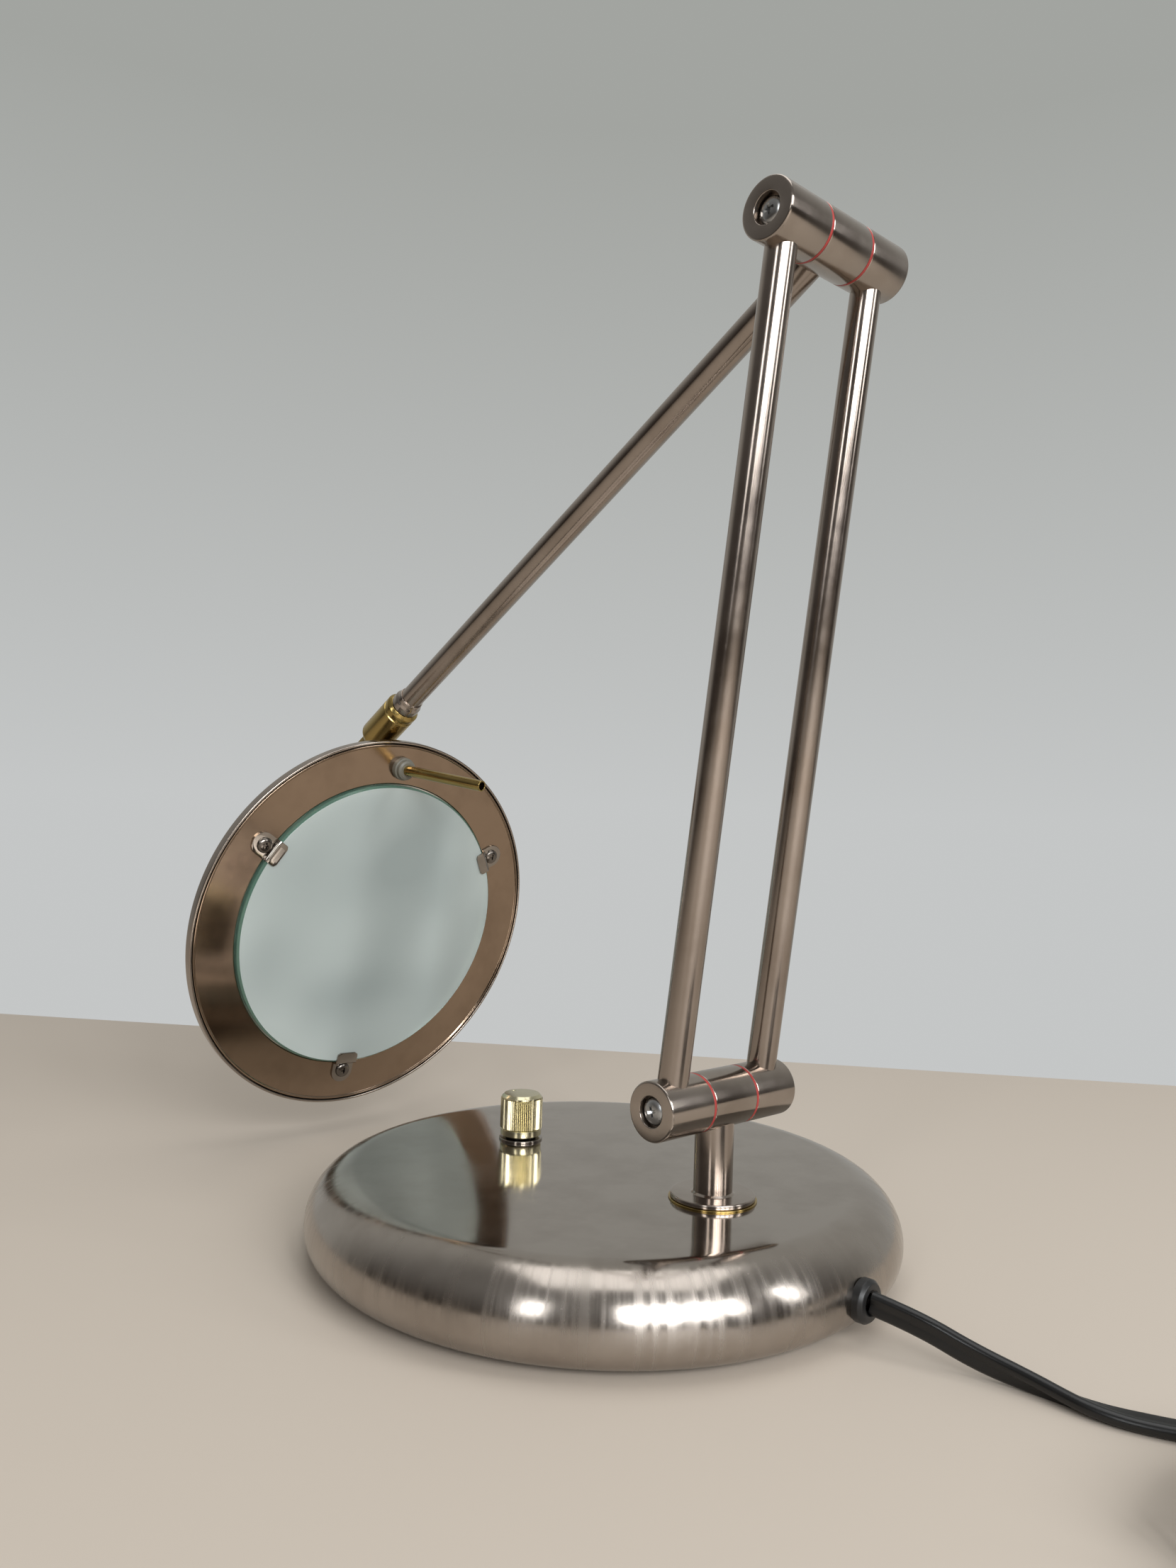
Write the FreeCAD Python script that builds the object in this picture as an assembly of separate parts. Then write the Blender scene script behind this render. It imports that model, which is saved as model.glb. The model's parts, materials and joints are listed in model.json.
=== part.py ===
import FreeCAD, Part
import math
import os

# Halogen desk lamp: round weighted base with a dimmer knob, swivelling post, twin-rod lower
# arm, single-tube upper arm and a shallow dish head. Millimetres, +Z up, origin at the middle
# of the base's underside, the knob on the -Y side and the mains cord on the +Y side.

os.makedirs("parts", exist_ok=True)

V = FreeCAD.Vector

# Driving dimensions
base_r = 103.9
base_top = 29.6
base_flat_r = 87.0
base_wide_z = 13.0
base_foot_r = 93.0
wall = 1.2
pad_t = 1.5
plate_t = 1.5
knob_y = -43.2
knob_r = 7.8
knob_top = 46.8
post_y = 48.4
post_r = 6.45
post_swing = -4.0
rod_r = 5.0
rod_x = 22.0
barrel_r = 9.55
barrel_half = 30.6
middle_half = 10.0
red_t = 0.9
seat_gap = 4.5
bolt_r = 2.5
lower_len = 275.0
hinge_z = 62.4
lean_back = 7.47
upper_fall = 121.0
tube_end = 260.0
pivot_at = 310.0
head_along = 332.7
head_off = 75.3
head_turn = -102.7
dish_r = 86.5
glass_r = 66.2
opening_r = 66.6
ring_turn = -2.7
clip_r = 70.6
handle_r = 74.1
fit = 0.05
gap = 0.1
cord_r = 3.6
cord_total = 1800.0
coil_centre = (18.0, 253.0)
coil_out = 48.0
coil_in = 31.5
coil_h = 15.4

X = V(1, 0, 0)
Y = V(0, 1, 0)
Z = V(0, 0, 1)
ZERO = V(0, 0, 0)


def rod(at, axis, r, length):
    return Part.makeCylinder(r, length, V(*at), V(*axis))


def tube(at, axis, r_out, r_in, length):
    return rod(at, axis, r_out, length).cut(rod(at, axis, r_in, length))


def box(lo, hi):
    return Part.makeBox(hi[0] - lo[0], hi[1] - lo[1], hi[2] - lo[2], V(*lo))


def turned(steps):
    """Solid of revolution about Z. A step is (r, z), or (r, z, r_mid, z_mid) for an arc to it."""
    edges = []
    last = V(steps[0][0], 0, steps[0][1])
    for step in steps[1:] + steps[:1]:
        point = V(step[0], 0, step[1])
        if len(step) == 4:
            edges.append(Part.Arc(last, V(step[2], 0, step[3]), point).toShape())
        elif point.distanceToPoint(last) > 1e-6:
            edges.append(Part.LineSegment(last, point).toShape())
        last = point
    return Part.Face(Part.Wire(edges)).revolve(ZERO, Z, 360)


def lathe(profile):
    """Solid of revolution of straight-sided (r, z) points."""
    wire = Part.makePolygon([V(r, 0, z) for r, z in profile + profile[:1]])
    return Part.Face(wire).revolve(ZERO, Z, 360)


def hexagon(across, length, at):
    corners = []
    for k in range(7):
        a = math.radians(60 * k + 30)
        corners.append(V(math.cos(a), math.sin(a), 0) * (across / math.sqrt(3)))
    prism = Part.Face(Part.makePolygon(corners)).extrude(Z * length)
    prism.translate(V(*at))
    return prism


def moved(shape, turn_x, at):
    """Turn about X through the origin, then shift."""
    out = shape.copy()
    out.rotate(ZERO, X, turn_x)
    out.translate(V(*at))
    return out


def arm_frame(shape):
    """From the arm's own frame, hinge axes along X and post axis on Z, to the lamp's frame."""
    out = shape.copy()
    out.rotate(ZERO, Z, post_swing)
    out.translate(V(0, post_y, 0))
    return out


def save(name, shape):
    shape.exportStep("parts/" + name + ".step")


# Places in the arm's frame
lean = math.radians(lean_back)
fall = math.radians(upper_fall)
low_pivot = (0, 0, hinge_z)
high_pivot = (0, lower_len * math.sin(lean), hinge_z + lower_len * math.cos(lean))
along = V(0, -math.sin(fall), math.cos(fall))
across = V(0, -along.z, along.y)
head_at = V(*high_pivot) + along * head_along + across * head_off


def lower_frame(shape):
    return arm_frame(moved(shape, -lean_back, low_pivot))


def upper_frame(shape):
    return arm_frame(moved(shape, upper_fall, high_pivot))


def head_frame(shape):
    """Head frame: +Z out of the glass, -Y towards the arm's knuckle."""
    return arm_frame(moved(shape, head_turn, tuple(head_at)))


def round_head(r, azimuth, z):
    """Point on the head at an azimuth from the knuckle side towards +X."""
    a = math.radians(azimuth)
    return (r * math.sin(a), -r * math.cos(a), z)


def pan_screw(head_r, head_h, shank_r, shank):
    """Pan-head screw with its head's underside at the origin, shank downwards."""
    head = turned([(0, 0), (head_r, 0), (head_r, head_h * 0.45),
                   (0, head_h, head_r * 0.62, head_h * 0.9)])
    slot_w = head_r * 0.28
    slot_l = head_r * 0.62
    deep = head_h * 0.5
    cross = box((-slot_l, -slot_w, deep), (slot_l, slot_w, head_h + 1))
    cross = cross.fuse(box((-slot_w, -slot_l, deep), (slot_w, slot_l, head_h + 1)))
    return head.cut(cross).fuse(rod((0, 0, -shank), (0, 0, 1), shank_r, shank + 0.2)).removeSplitter()


def along_x(shape, side, at_x):
    """Turn a +Z shape to point along +X or -X, and shift it to at_x."""
    out = shape.copy()
    out.rotate(ZERO, Y, 90 * side)
    out.translate(V(at_x, 0, 0))
    return out


# Base -------------------------------------------------------------------------------------
pillar_r = 4.0
pillar_ring = 56.0
pillar_places = [(pillar_ring * math.cos(math.radians(a)), pillar_ring * math.sin(math.radians(a)))
                 for a in (0, 120, 240)]
pad_r = 86.0
plate_r = 90.5
screw_well_r = 4.2
ballast_in = 62.0
ballast_out = 87.0
ballast_top = 17.0
post_tail_r = 5.0
plate_top = pad_t + plate_t
roof = base_top - wall
bushing_z = 12.9
bushing_x = -1.5
bushing_r = 5.2


def base_shell():
    half = math.sqrt(0.5)
    deep = base_top - base_wide_z
    out = base_r - base_flat_r
    outer = turned([
        (0, pad_t),
        (base_foot_r, pad_t),
        (base_r, base_wide_z, 101.2, 5.9),
        (base_flat_r, base_top, base_flat_r + out * half, base_wide_z + deep * half),
        (0, base_top)])
    inner = turned([
        (0, pad_t - 1),
        (base_foot_r - wall, pad_t - 1),
        (base_foot_r - wall, pad_t + wall),
        (base_r - wall, base_wide_z, 100.0, 6.6),
        (base_flat_r, roof, base_flat_r + (out - wall) * half, base_wide_z + (deep - wall) * half),
        (0, roof)])
    shell = outer.cut(inner)
    shell = shell.cut(rod((0, knob_y, roof - 1), (0, 0, 1), 4.1, 4))
    shell = shell.cut(rod((0, post_y, roof - 1), (0, 0, 1), post_tail_r + gap, 4))
    for x, y in pillar_places:
        pillar = rod((x, y, plate_top), (0, 0, 1), pillar_r, roof - plate_top + 0.2)
        shell = shell.fuse(pillar.cut(rod((x, y, plate_top), (0, 0, 1), 1.5, 9)))
    return shell.cut(rod((bushing_x, 90, bushing_z), (0, 1, 0), bushing_r, 20))


def base_pad():
    pad = rod((0, 0, 0), (0, 0, 1), pad_r, pad_t)
    for x, y in pillar_places:
        pad = pad.cut(rod((x, y, -1), (0, 0, 1), screw_well_r, 4))
    return pad


def base_plate():
    plate = rod((0, 0, pad_t), (0, 0, 1), plate_r, plate_t)
    for x, y in pillar_places:
        plate = plate.cut(rod((x, y, 0), (0, 0, 1), 1.6, 5))
    return plate


def ballast():
    ring = lathe([(ballast_in, plate_top), (ballast_out - 1, plate_top), (ballast_out, plate_top + 1),
                  (ballast_out, ballast_top - 1), (ballast_out - 1, ballast_top), (ballast_in, ballast_top)])
    return ring.cut(box((-8, 55, plate_top - 1), (8, 95, 20)))


shell = base_shell()
save("base_shell", shell)
save("base_pad", base_pad())
save("base_plate", base_plate())
save("ballast_ring", ballast())
for n, (x, y) in enumerate(pillar_places, 1):
    screw = pan_screw(3.2, 1.3, 1.5, plate_t + 8)
    save(f"plate_screw_{n}", moved(screw, 180, (x, y, pad_t)))

# Transformer: laminated core with its winding, held down by a strap
core = box((-28.5, -14, plate_top), (28.5, 14, 22))
core = core.cut(box((-19, -15, 9), (-8, 15, 16.5))).cut(box((8, -15, 9), (19, 15, 16.5)))
winding = box((-19, -22, 9), (19, 22, 16.5))
winding = winding.cut(box((-8, -14, 8), (8, 14, 17)))
winding_ends = [e for e in winding.Edges if e.Length < 8 and abs(e.BoundBox.YMax) > 21]
winding = winding.makeFillet(2.0, winding_ends)
save("transformer_core", core)
save("transformer_winding", winding)

# Dimmer under the roof, with its threaded bush, and the washer under the knob
can_r = 12.0
can_from = 12.0
can_to = 23.0
bush_r = 4.0
bush_to = 33.5
shaft_r = 3.0
washer_t = 0.8
dimmer = rod((0, knob_y, can_from), (0, 0, 1), can_r, can_to - can_from)
dimmer = dimmer.fuse(rod((0, knob_y, can_to), (0, 0, 1), bush_r, bush_to - can_to))
dimmer = dimmer.fuse(hexagon(9.6, 2.2, (0, knob_y, base_top + washer_t)))
save("dimmer", dimmer.cut(rod((0, knob_y, can_to), (0, 0, 1), shaft_r + fit, 20)).removeSplitter())
save("knob_washer", tube((0, knob_y, base_top), (0, 0, 1), 8.2, bush_r, washer_t))

# Dimmer knob and its shaft
knob = lathe([(0, 36.5), (6.3, 36.5), (6.3, 31.0), (7.4, 31.0), (knob_r, 31.4),
              (knob_r, knob_top - 1.3), (knob_r - 1.0, knob_top), (0, knob_top)])
shaft_top = 44.0
shaft_low = can_to + gap
knob = knob.cut(rod((0, 0, 30), (0, 0, 1), shaft_r, shaft_top - 30))
knob = knob.cut(rod((0, -4.6, knob_top - 0.35), (0, 0, 1), 0.8, 1))
save("dimmer_knob", moved(knob, 0, (0, knob_y, 0)))
save("dimmer_shaft", rod((0, knob_y, shaft_low), (0, 0, 1), shaft_r, shaft_top - shaft_low))

# Cord bushing in the rear wall
bushing_face = base_r + 3.0
collar_r = 6.5
collar_from = base_r - 0.4
bushing = turned([(0, 98), (bushing_r - 0.2, 98), (bushing_r, 99), (bushing_r, collar_from),
                  (collar_r, collar_from), (collar_r, bushing_face - 1),
                  (5.6, bushing_face, 6.2, bushing_face - 0.3), (0, bushing_face)])
save("cord_bushing", moved(bushing, -90, (bushing_x, 0, bushing_z)).cut(shell))

# Post, which turns in the base's roof
post_washer_t = 0.5
flange_r = 14.0
flange_from = base_top + post_washer_t + gap
flange_top = flange_from + 1.5
flange_edge = 0.5
post_washer = tube((0, post_y, base_top), (0, 0, 1), flange_r + 0.6, post_tail_r + gap, post_washer_t)
save("post_washer", post_washer)
flange = lathe([(post_r, flange_from), (flange_r, flange_from), (flange_r, flange_top - flange_edge),
                (flange_r - flange_edge, flange_top), (post_r, flange_top)])
save("post_flange", arm_frame(flange))
post_tail_from = 17.0
post_nut_h = 5.6
post_nut_from = roof - gap - post_nut_h
post = rod((0, 0, flange_from), (0, 0, 1), post_r, hinge_z - seat_gap - flange_from)
post = post.fuse(rod((0, 0, post_tail_from), (0, 0, 1), post_tail_r, 14)).removeSplitter()
save("post", arm_frame(post))
post_nut = hexagon(16, post_nut_h, (0, 0, post_nut_from))
post_nut = post_nut.cut(rod((0, 0, post_nut_from - 1), (0, 0, 1), post_tail_r, post_nut_h + 2))
save("post_nut", arm_frame(post_nut))


# Hinges: three barrels in line, red insulating washers between them and one through bolt ----
def barrel(x_from, x_to, seat_turn, seat_x, seat_r, bore_r, recess):
    """Hinge barrel along X with a radial seat for a rod at seat_x, turned seat_turn about X."""
    edge = 0.5
    long = x_to - x_from
    shape = lathe([(0, 0), (barrel_r - edge, 0), (barrel_r, edge), (barrel_r, long - edge),
                   (barrel_r - edge, long), (0, long)])
    shape = along_x(shape, 1, x_from)
    shape = shape.cut(rod((x_from - 1, 0, 0), (1, 0, 0), bore_r, long + 2))
    seat = rod((seat_x, 0, seat_gap), (0, 0, 1), seat_r, barrel_r)
    shape = shape.cut(moved(seat, seat_turn, (0, 0, 0)))
    if recess > 0:
        shape = shape.cut(rod((x_to - recess, 0, 0), (1, 0, 0), 4.9, recess + 1))
    if recess < 0:
        shape = shape.cut(rod((x_from + recess, 0, 0), (1, 0, 0), 4.9, -2 * recess))
    return shape


side_from = middle_half + gap + red_t


def hinge(prefix, frame, side_turn, middle_turn, middle_seat_r, middle_frame, recess):
    """One hinge's pieces: outer barrels, washers and bolt follow frame, the rest middle_frame."""
    middle = barrel(-middle_half, middle_half, middle_turn, 0, middle_seat_r, bolt_r + fit, 0)
    save(prefix + "_middle_barrel", middle_frame(middle))
    near = barrel(side_from, barrel_half, side_turn, rod_x, rod_r, bolt_r, recess)
    far = barrel(-barrel_half, -side_from, side_turn, -rod_x, rod_r, bolt_r, -recess)
    save(prefix + "_near_barrel", frame(near))
    save(prefix + "_far_barrel", frame(far))
    for side, at_x in (("near", middle_half + gap), ("far", -side_from)):
        red = tube((at_x, 0, 0), (1, 0, 0), barrel_r, bolt_r, red_t)
        save(prefix + "_red_washer_" + side, frame(red))
    seat_x = barrel_half - recess
    bolt = along_x(pan_screw(4.4, 2.4, bolt_r, 2 * seat_x), 1, seat_x)
    save(prefix + "_bolt", frame(bolt))
    bolt_nut = along_x(hexagon(8, 2.2, (0, 0, 0)).cut(rod((0, 0, -1), (0, 0, 1), bolt_r, 4)), -1, -seat_x)
    save(prefix + "_bolt_nut", frame(bolt_nut))


def post_top(shape):
    return arm_frame(moved(shape, 0, low_pivot))


def elbow(shape):
    return lower_frame(moved(shape, 0, (0, 0, lower_len)))


hinge("lower_hinge", lower_frame, 0, 180, post_r, post_top, 2.6)
hinge("upper_hinge", elbow, 180, 0, rod_r, upper_frame, 3.3)

# Lower arm: two rods
for side, at_x in (("near", rod_x), ("far", -rod_x)):
    lower_rod = rod((at_x, 0, seat_gap), (0, 0, 1), rod_r, lower_len - 2 * seat_gap)
    save("lower_rod_" + side, lower_frame(lower_rod))

# Upper arm: tube with a flared collar and a swivel pin at its end
pin_r = 3.0
pin_from = 240.0
pin_to = 286.0
groove_at = 279.0
collar_end = 263.0
tube_wall = 1.0
arm_tube = rod((0, 0, seat_gap), (0, 0, 1), rod_r, tube_end - seat_gap)
arm_tube = arm_tube.cut(rod((0, 0, seat_gap), (0, 0, 1), rod_r - tube_wall, pin_from - seat_gap))
arm_tube = arm_tube.cut(rod((0, 0, pin_from), (0, 0, 1), pin_r, tube_end - pin_from))
save("upper_tube", upper_frame(arm_tube))
collar = turned([(rod_r, 256.6), (rod_r + 0.5, 256.6), (6.35, 259.4, 5.7, 258.6), (6.35, 262.4),
                 (5.7, collar_end), (pin_r, collar_end), (pin_r, tube_end), (rod_r, tube_end)])
save("upper_collar", upper_frame(collar))
pin = lathe([(0, pin_from), (pin_r, pin_from), (pin_r, groove_at - 1.7), (2.2, groove_at - 1.7),
             (2.2, groove_at + 1.7), (pin_r, groove_at + 1.7), (pin_r, pin_to), (0, pin_to)])
save("swivel_pin", upper_frame(pin))

# Swivel: brass barrel that turns on the pin, ending in a flat tang with the tilt eye
swivel_r = 7.65
swivel_from = collar_end + gap
swivel_to = 292.0
tang_half = 2.5
eye_r = 5.5
swivel = turned([(0, swivel_from), (6.2, swivel_from), (swivel_r, swivel_from + 1.4, 7.2, swivel_from + 0.4),
                 (swivel_r, swivel_from + 3.7), (7.1, swivel_from + 4.1), (7.1, swivel_from + 4.6),
                 (swivel_r, swivel_from + 5.0), (swivel_r, swivel_to - 3.4),
                 (4.6, swivel_to, 6.9, swivel_to - 1.0), (0, swivel_to)])
swivel = swivel.cut(rod((0, 0, swivel_from - 1), (0, 0, 1), pin_r + fit, pin_to + gap - swivel_from + 1))
swivel = swivel.cut(rod((0, 0, groove_at), (0, 1, 0), 1.4, 10))
tang = box((-tang_half, -4.2, swivel_to - 3), (tang_half, 4.2, pivot_at))
tang = tang.fuse(rod((-tang_half, 0, pivot_at), (1, 0, 0), eye_r, 2 * tang_half))
tang = tang.cut(rod((-tang_half - 1, 0, pivot_at), (1, 0, 0), 2.0 + fit, 2 * tang_half + 2))
save("swivel_barrel", upper_frame(swivel.fuse(tang).removeSplitter()))
grub = rod((0, 2.45, groove_at), (0, 1, 0), 1.4, swivel_r - 2.45 - 0.3)
save("swivel_grub", upper_frame(grub))

# Head: dish shell, fork, reflector, lamp, glass, trim ring, clips and handle ----------------
to_pivot = V(*high_pivot) + along * pivot_at - head_at
head_out = V(0, -math.sin(math.radians(head_turn)), math.cos(math.radians(head_turn)))
head_down = V(0, math.cos(math.radians(head_turn)), math.sin(math.radians(head_turn)))
pivot_y = to_pivot.dot(head_down)
pivot_z = to_pivot.dot(head_out)
print("tilt pivot in the head frame", round(pivot_y, 2), round(pivot_z, 2))

dish_out = [(0, -26.5), (48, -26.5), (60, -24), (70, -19.6), (78, -13.6), (83.6, -8.4), (dish_r, -4.5)]
dish_in = [(0, -25.3), (47.8, -25.3), (59.4, -22.9), (69.2, -18.5), (77.2, -12.6), (82.6, -7.6), (85.3, -4.0)]
rim_in = 85.4
solid_dish = lathe([(0, 0)] + dish_out + [(dish_r, 0)])
cavity = lathe([(0, 1)] + dish_in + [(rim_in, -4.0), (rim_in, 1)])
save("dish_shell", head_frame(solid_dish.cut(cavity)))

fork_base_half = 5.4
slot_end = pivot_y + eye_r + 0.7
tilt_bore_r = 2.0
fork = box((-fork_base_half, pivot_y - 6.5, -24.6), (fork_base_half, pivot_y + 10, -10))
for x_lo, x_hi in ((tang_half + gap, fork_base_half), (-fork_base_half, -tang_half - gap)):
    ear = rod((x_lo, pivot_y, pivot_z), (1, 0, 0), eye_r, x_hi - x_lo)
    ear = ear.fuse(box((x_lo, pivot_y - eye_r, pivot_z), (x_hi, pivot_y + eye_r, -20)))
    fork = fork.fuse(ear)
fork = fork.cut(solid_dish)
fork = fork.cut(box((-tang_half - gap, pivot_y - 20, pivot_z - 20), (tang_half + gap, slot_end, 0)))
fork = fork.cut(rod((-20, pivot_y, pivot_z), (1, 0, 0), tilt_bore_r, 40)).removeSplitter()
save("tilt_fork", head_frame(fork))
tilt_screw = along_x(pan_screw(3.6, 2.0, tilt_bore_r, 2 * fork_base_half), 1, fork_base_half)
save("tilt_screw", head_frame(moved(tilt_screw, 0, (0, pivot_y, pivot_z))))

# The pane stands proud of the ring, on the reflector's flange, and the clips step up on to it
ring_front = -0.8
ring_back = -2.0
ring_r = 85.2
glass_front = 1.6
glass_bevel = 1.0
glass_back = ring_back
flange_z = ring_back - fit
clip_places = (60, -60, 180)
pillar_head_r = 2.5
holder_lo = (-24, -8, -24.7)
holder_hi = (-10, 8, -8)
reflector_t = 0.6
reflector_line = [(83.2, flange_z), (62, flange_z), (58, -14), (46, -20.5), (14, -23.5)]
reflector = lathe(reflector_line + [(r, z - reflector_t) for r, z in reversed(reflector_line)])
for azimuth in clip_places:
    x, y, z = round_head(clip_r, azimuth + ring_turn, -10)
    reflector = reflector.cut(rod((x, y, z), (0, 0, 1), pillar_head_r + gap, 10))
hole_lo = tuple(v - 0.3 for v in holder_lo)
hole_hi = tuple(v + 0.3 for v in holder_hi)
save("reflector", head_frame(reflector.cut(box(hole_lo, hole_hi))))
glass = lathe([(0, glass_back), (glass_r - 0.5, glass_back), (glass_r, glass_back + 0.5),
               (glass_r, glass_front - glass_bevel), (glass_r - glass_bevel, glass_front), (0, glass_front)])
save("glass", head_frame(glass))

ring = lathe([(opening_r, ring_back), (ring_r, ring_back), (ring_r, ring_front), (opening_r, ring_front)])
handle_place = round_head(handle_r, ring_turn, 0)
clip_t = 0.8
clip_half_w = 5.25
clip_round = 76.5 - clip_half_w
riser_in = glass_r + gap
riser_out = riser_in + 0.9
lip_in = 61.5
clip_hole_r = 1.5
clip_screw_r = 1.4


def clip_shape():
    """Clip on the -Y side: outer plate on the ring, riser, and lip on the pane."""
    top = ring_front + clip_t
    lip_top = glass_front + clip_t
    clip = box((-clip_half_w, -clip_round, ring_front), (clip_half_w, -riser_in, top))
    clip = clip.fuse(rod((0, -clip_round, ring_front), (0, 0, 1), clip_half_w, clip_t))
    clip = clip.fuse(box((-clip_half_w, -riser_out, ring_front), (clip_half_w, -riser_in, lip_top)))
    clip = clip.fuse(box((-clip_half_w, -riser_out, glass_front), (clip_half_w, -lip_in, lip_top)))
    clip = clip.cut(rod((0, 0, ring_front - 1), (0, 0, 1), riser_in, glass_front - ring_front + 1))
    return clip.cut(rod((0, -clip_r, ring_front - 1), (0, 0, 1), clip_hole_r, 4)).removeSplitter()


for n, azimuth in enumerate(clip_places, 1):
    turn = azimuth + ring_turn
    x, y, z = round_head(clip_r, turn, 0)
    pillar = rod((x, y, -24), (0, 0, 1), pillar_head_r, 24 + ring_back + 0.2).common(cavity)
    ring = ring.fuse(pillar).cut(rod((x, y, -9), (0, 0, 1), clip_screw_r, 12))
    clip = clip_shape()
    clip.rotate(ZERO, Z, turn)
    save(f"clip_{n}", head_frame(clip))
    screw = pan_screw(3.4, 1.7, clip_screw_r, 8)
    save(f"clip_screw_{n}", head_frame(moved(screw, 0, (x, y, ring_front + clip_t))))
save("trim_ring", head_frame(ring.removeSplitter()))

# Capsule lamp lying across the reflector in its ceramic holder
holder = box(holder_lo, holder_hi)
save("lamp_holder", head_frame(holder.makeFillet(1.0, [e for e in holder.Edges if e.Length > 15.5])))
capsule = lathe([(0, 0), (3.0, 0), (4.5, 2.5), (4.5, 16), (0, 16)]).fuse(Part.makeSphere(4.5, V(0, 0, 16)))
capsule = along_x(capsule.removeSplitter(), 1, -6.0)
for side in (-1, 1):
    capsule = capsule.fuse(rod((-10, side * 2.0, 0), (1, 0, 0), 0.5, 5))
save("lamp_capsule", head_frame(moved(capsule, 0, (0, 0, -13))))

# Handle on the front of the ring
bush_top = 4.0
handle_x, handle_y = handle_place[0], handle_place[1]
bush = turned([(0, ring_front), (5.2, ring_front), (5.2, 1.2), (4.5, 1.9, 5.0, 1.7), (4.5, 3.2),
               (3.6, bush_top, 4.3, 3.8), (0, bush_top)])
save("handle_bush", head_frame(moved(bush, 0, (handle_x, handle_y, 0))))
handle_len = 44.6
handle_rod = rod((0, 0, 0), (0, 0, 1), 2.4, handle_len).cut(rod((0, 0, handle_len - 3), (0, 0, 1), 1.8, 4))
handle_rod.rotate(ZERO, X, 4.3)
handle_rod.rotate(ZERO, Y, -12.2)
handle_rod.translate(V(handle_x, handle_y, bush_top - 0.4))
bush_clear = moved(bush, 0, (handle_x, handle_y, 0))
save("handle_rod", head_frame(handle_rod.cut(bush_clear)))


# Mains cord ---------------------------------------------------------------------------------
def cord_tube(points):
    """Round tube of straight runs joined by tangent arcs, with its centre line's length."""
    points = [V(*p) for p in points]
    edges = []
    start = points[0]
    for before, corner, after in zip(points, points[1:], points[2:]):
        run = min(before.distanceToPoint(corner), after.distanceToPoint(corner))
        into = (corner - before).normalize()
        away = (after - corner).normalize()
        half_turn = into.getAngle(away) / 2
        cut = 0.45 * run
        bend_r = cut / math.tan(half_turn)
        print("cord radius", round(bend_r, 1), "in diameters", round(bend_r / (2 * cord_r), 1))
        arc_in = corner - into * cut
        arc_out = corner + away * cut
        to_middle = (away - into).normalize()
        middle = corner + to_middle * (bend_r / math.cos(half_turn) - bend_r)
        edges.append(Part.LineSegment(start, arc_in).toShape())
        edges.append(Part.Arc(arc_in, middle, arc_out).toShape())
        start = arc_out
    edges.append(Part.LineSegment(start, points[-1]).toShape())
    path = Part.Wire(edges)
    first = (points[1] - points[0]).normalize()
    section = Part.Wire(Part.Circle(points[0], first, cord_r).toShape())
    solid = path.makePipeShell([section], True, False)
    share = solid.Volume / (math.pi * cord_r ** 2 * path.Length)
    print("cord tube length", round(path.Length, 1), "volume against section times length", round(share, 4))
    return solid, path.Length


cord_route = [(bushing_x, bushing_face, bushing_z), (-3.2, 121.0, 11.2), (-6.6, 137.0, 5.6),
              (-9.0, 154.0, 3.8), (-8.0, 171.0, 3.7), (-13.0, 187.0, 3.7), (-21.0, 204.0, 3.7),
              (-25.6, 223.0, 3.7), (-26.4, 241.0, 3.7)]
tail_route = [(26.0, 296.9, 3.7), (43.0, 297.2, 3.9), (57.5, 292.2, 5.2), (68.0, 283.2, 6.6)]
lead, lead_length = cord_tube(cord_route)
tail, tail_length = cord_tube(tail_route)
save("cord_lead", lead)
save("cord_tail", tail)
print("length wound in the coil", round(cord_total - lead_length - tail_length))
coil = lathe([(coil_in, 1), (coil_in + 1, 0), (coil_out - 1, 0), (coil_out, 1), (coil_out, coil_h - 1),
              (coil_out - 1, coil_h), (coil_in + 1, coil_h), (coil_in, coil_h - 1)])
save("cord_coil", moved(coil, 0, coil_centre + (0,)))

# Plug with two flat blades, lying beside the coil
plug_back = V(*tail_route[-1])
plug_turn = math.degrees(math.atan2(tail_route[-1][1] - tail_route[-2][1],
                                    tail_route[-1][0] - tail_route[-2][0]))
plug_len = 27.0


def plug_frame(shape):
    """Plug frame: +X out of the blades, origin where the cord enters."""
    out = shape.copy()
    out.rotate(ZERO, Z, plug_turn)
    out.translate(plug_back)
    return out


plug_sections = []
for x, w, h in ((0, 5.0, 4.0), (9, 8.5, 6.0), (plug_len - 3, 12.2, 6.5), (plug_len, 12.2, 6.5)):
    corners = [V(x, -w, -h), V(x, w, -h), V(x, w, h), V(x, -w, h), V(x, -w, -h)]
    plug_sections.append(Part.makePolygon(corners))
save("plug_body", plug_frame(Part.makeLoft(plug_sections, True, True)))
blade_pitch = 12.7
blade_len = 16.0
blade_half_w = 3.175
blade_half_t = 0.75
blades = []
for side in (-1, 1):
    y = side * blade_pitch / 2
    blades.append(box((plug_len, y - blade_half_t, -blade_half_w),
                      (plug_len + blade_len, y + blade_half_t, blade_half_w)))
save("plug_blades", plug_frame(Part.makeCompound(blades)))
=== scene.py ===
import bmesh
import bpy
import json
import math
from mathutils import Matrix, Vector


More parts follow.
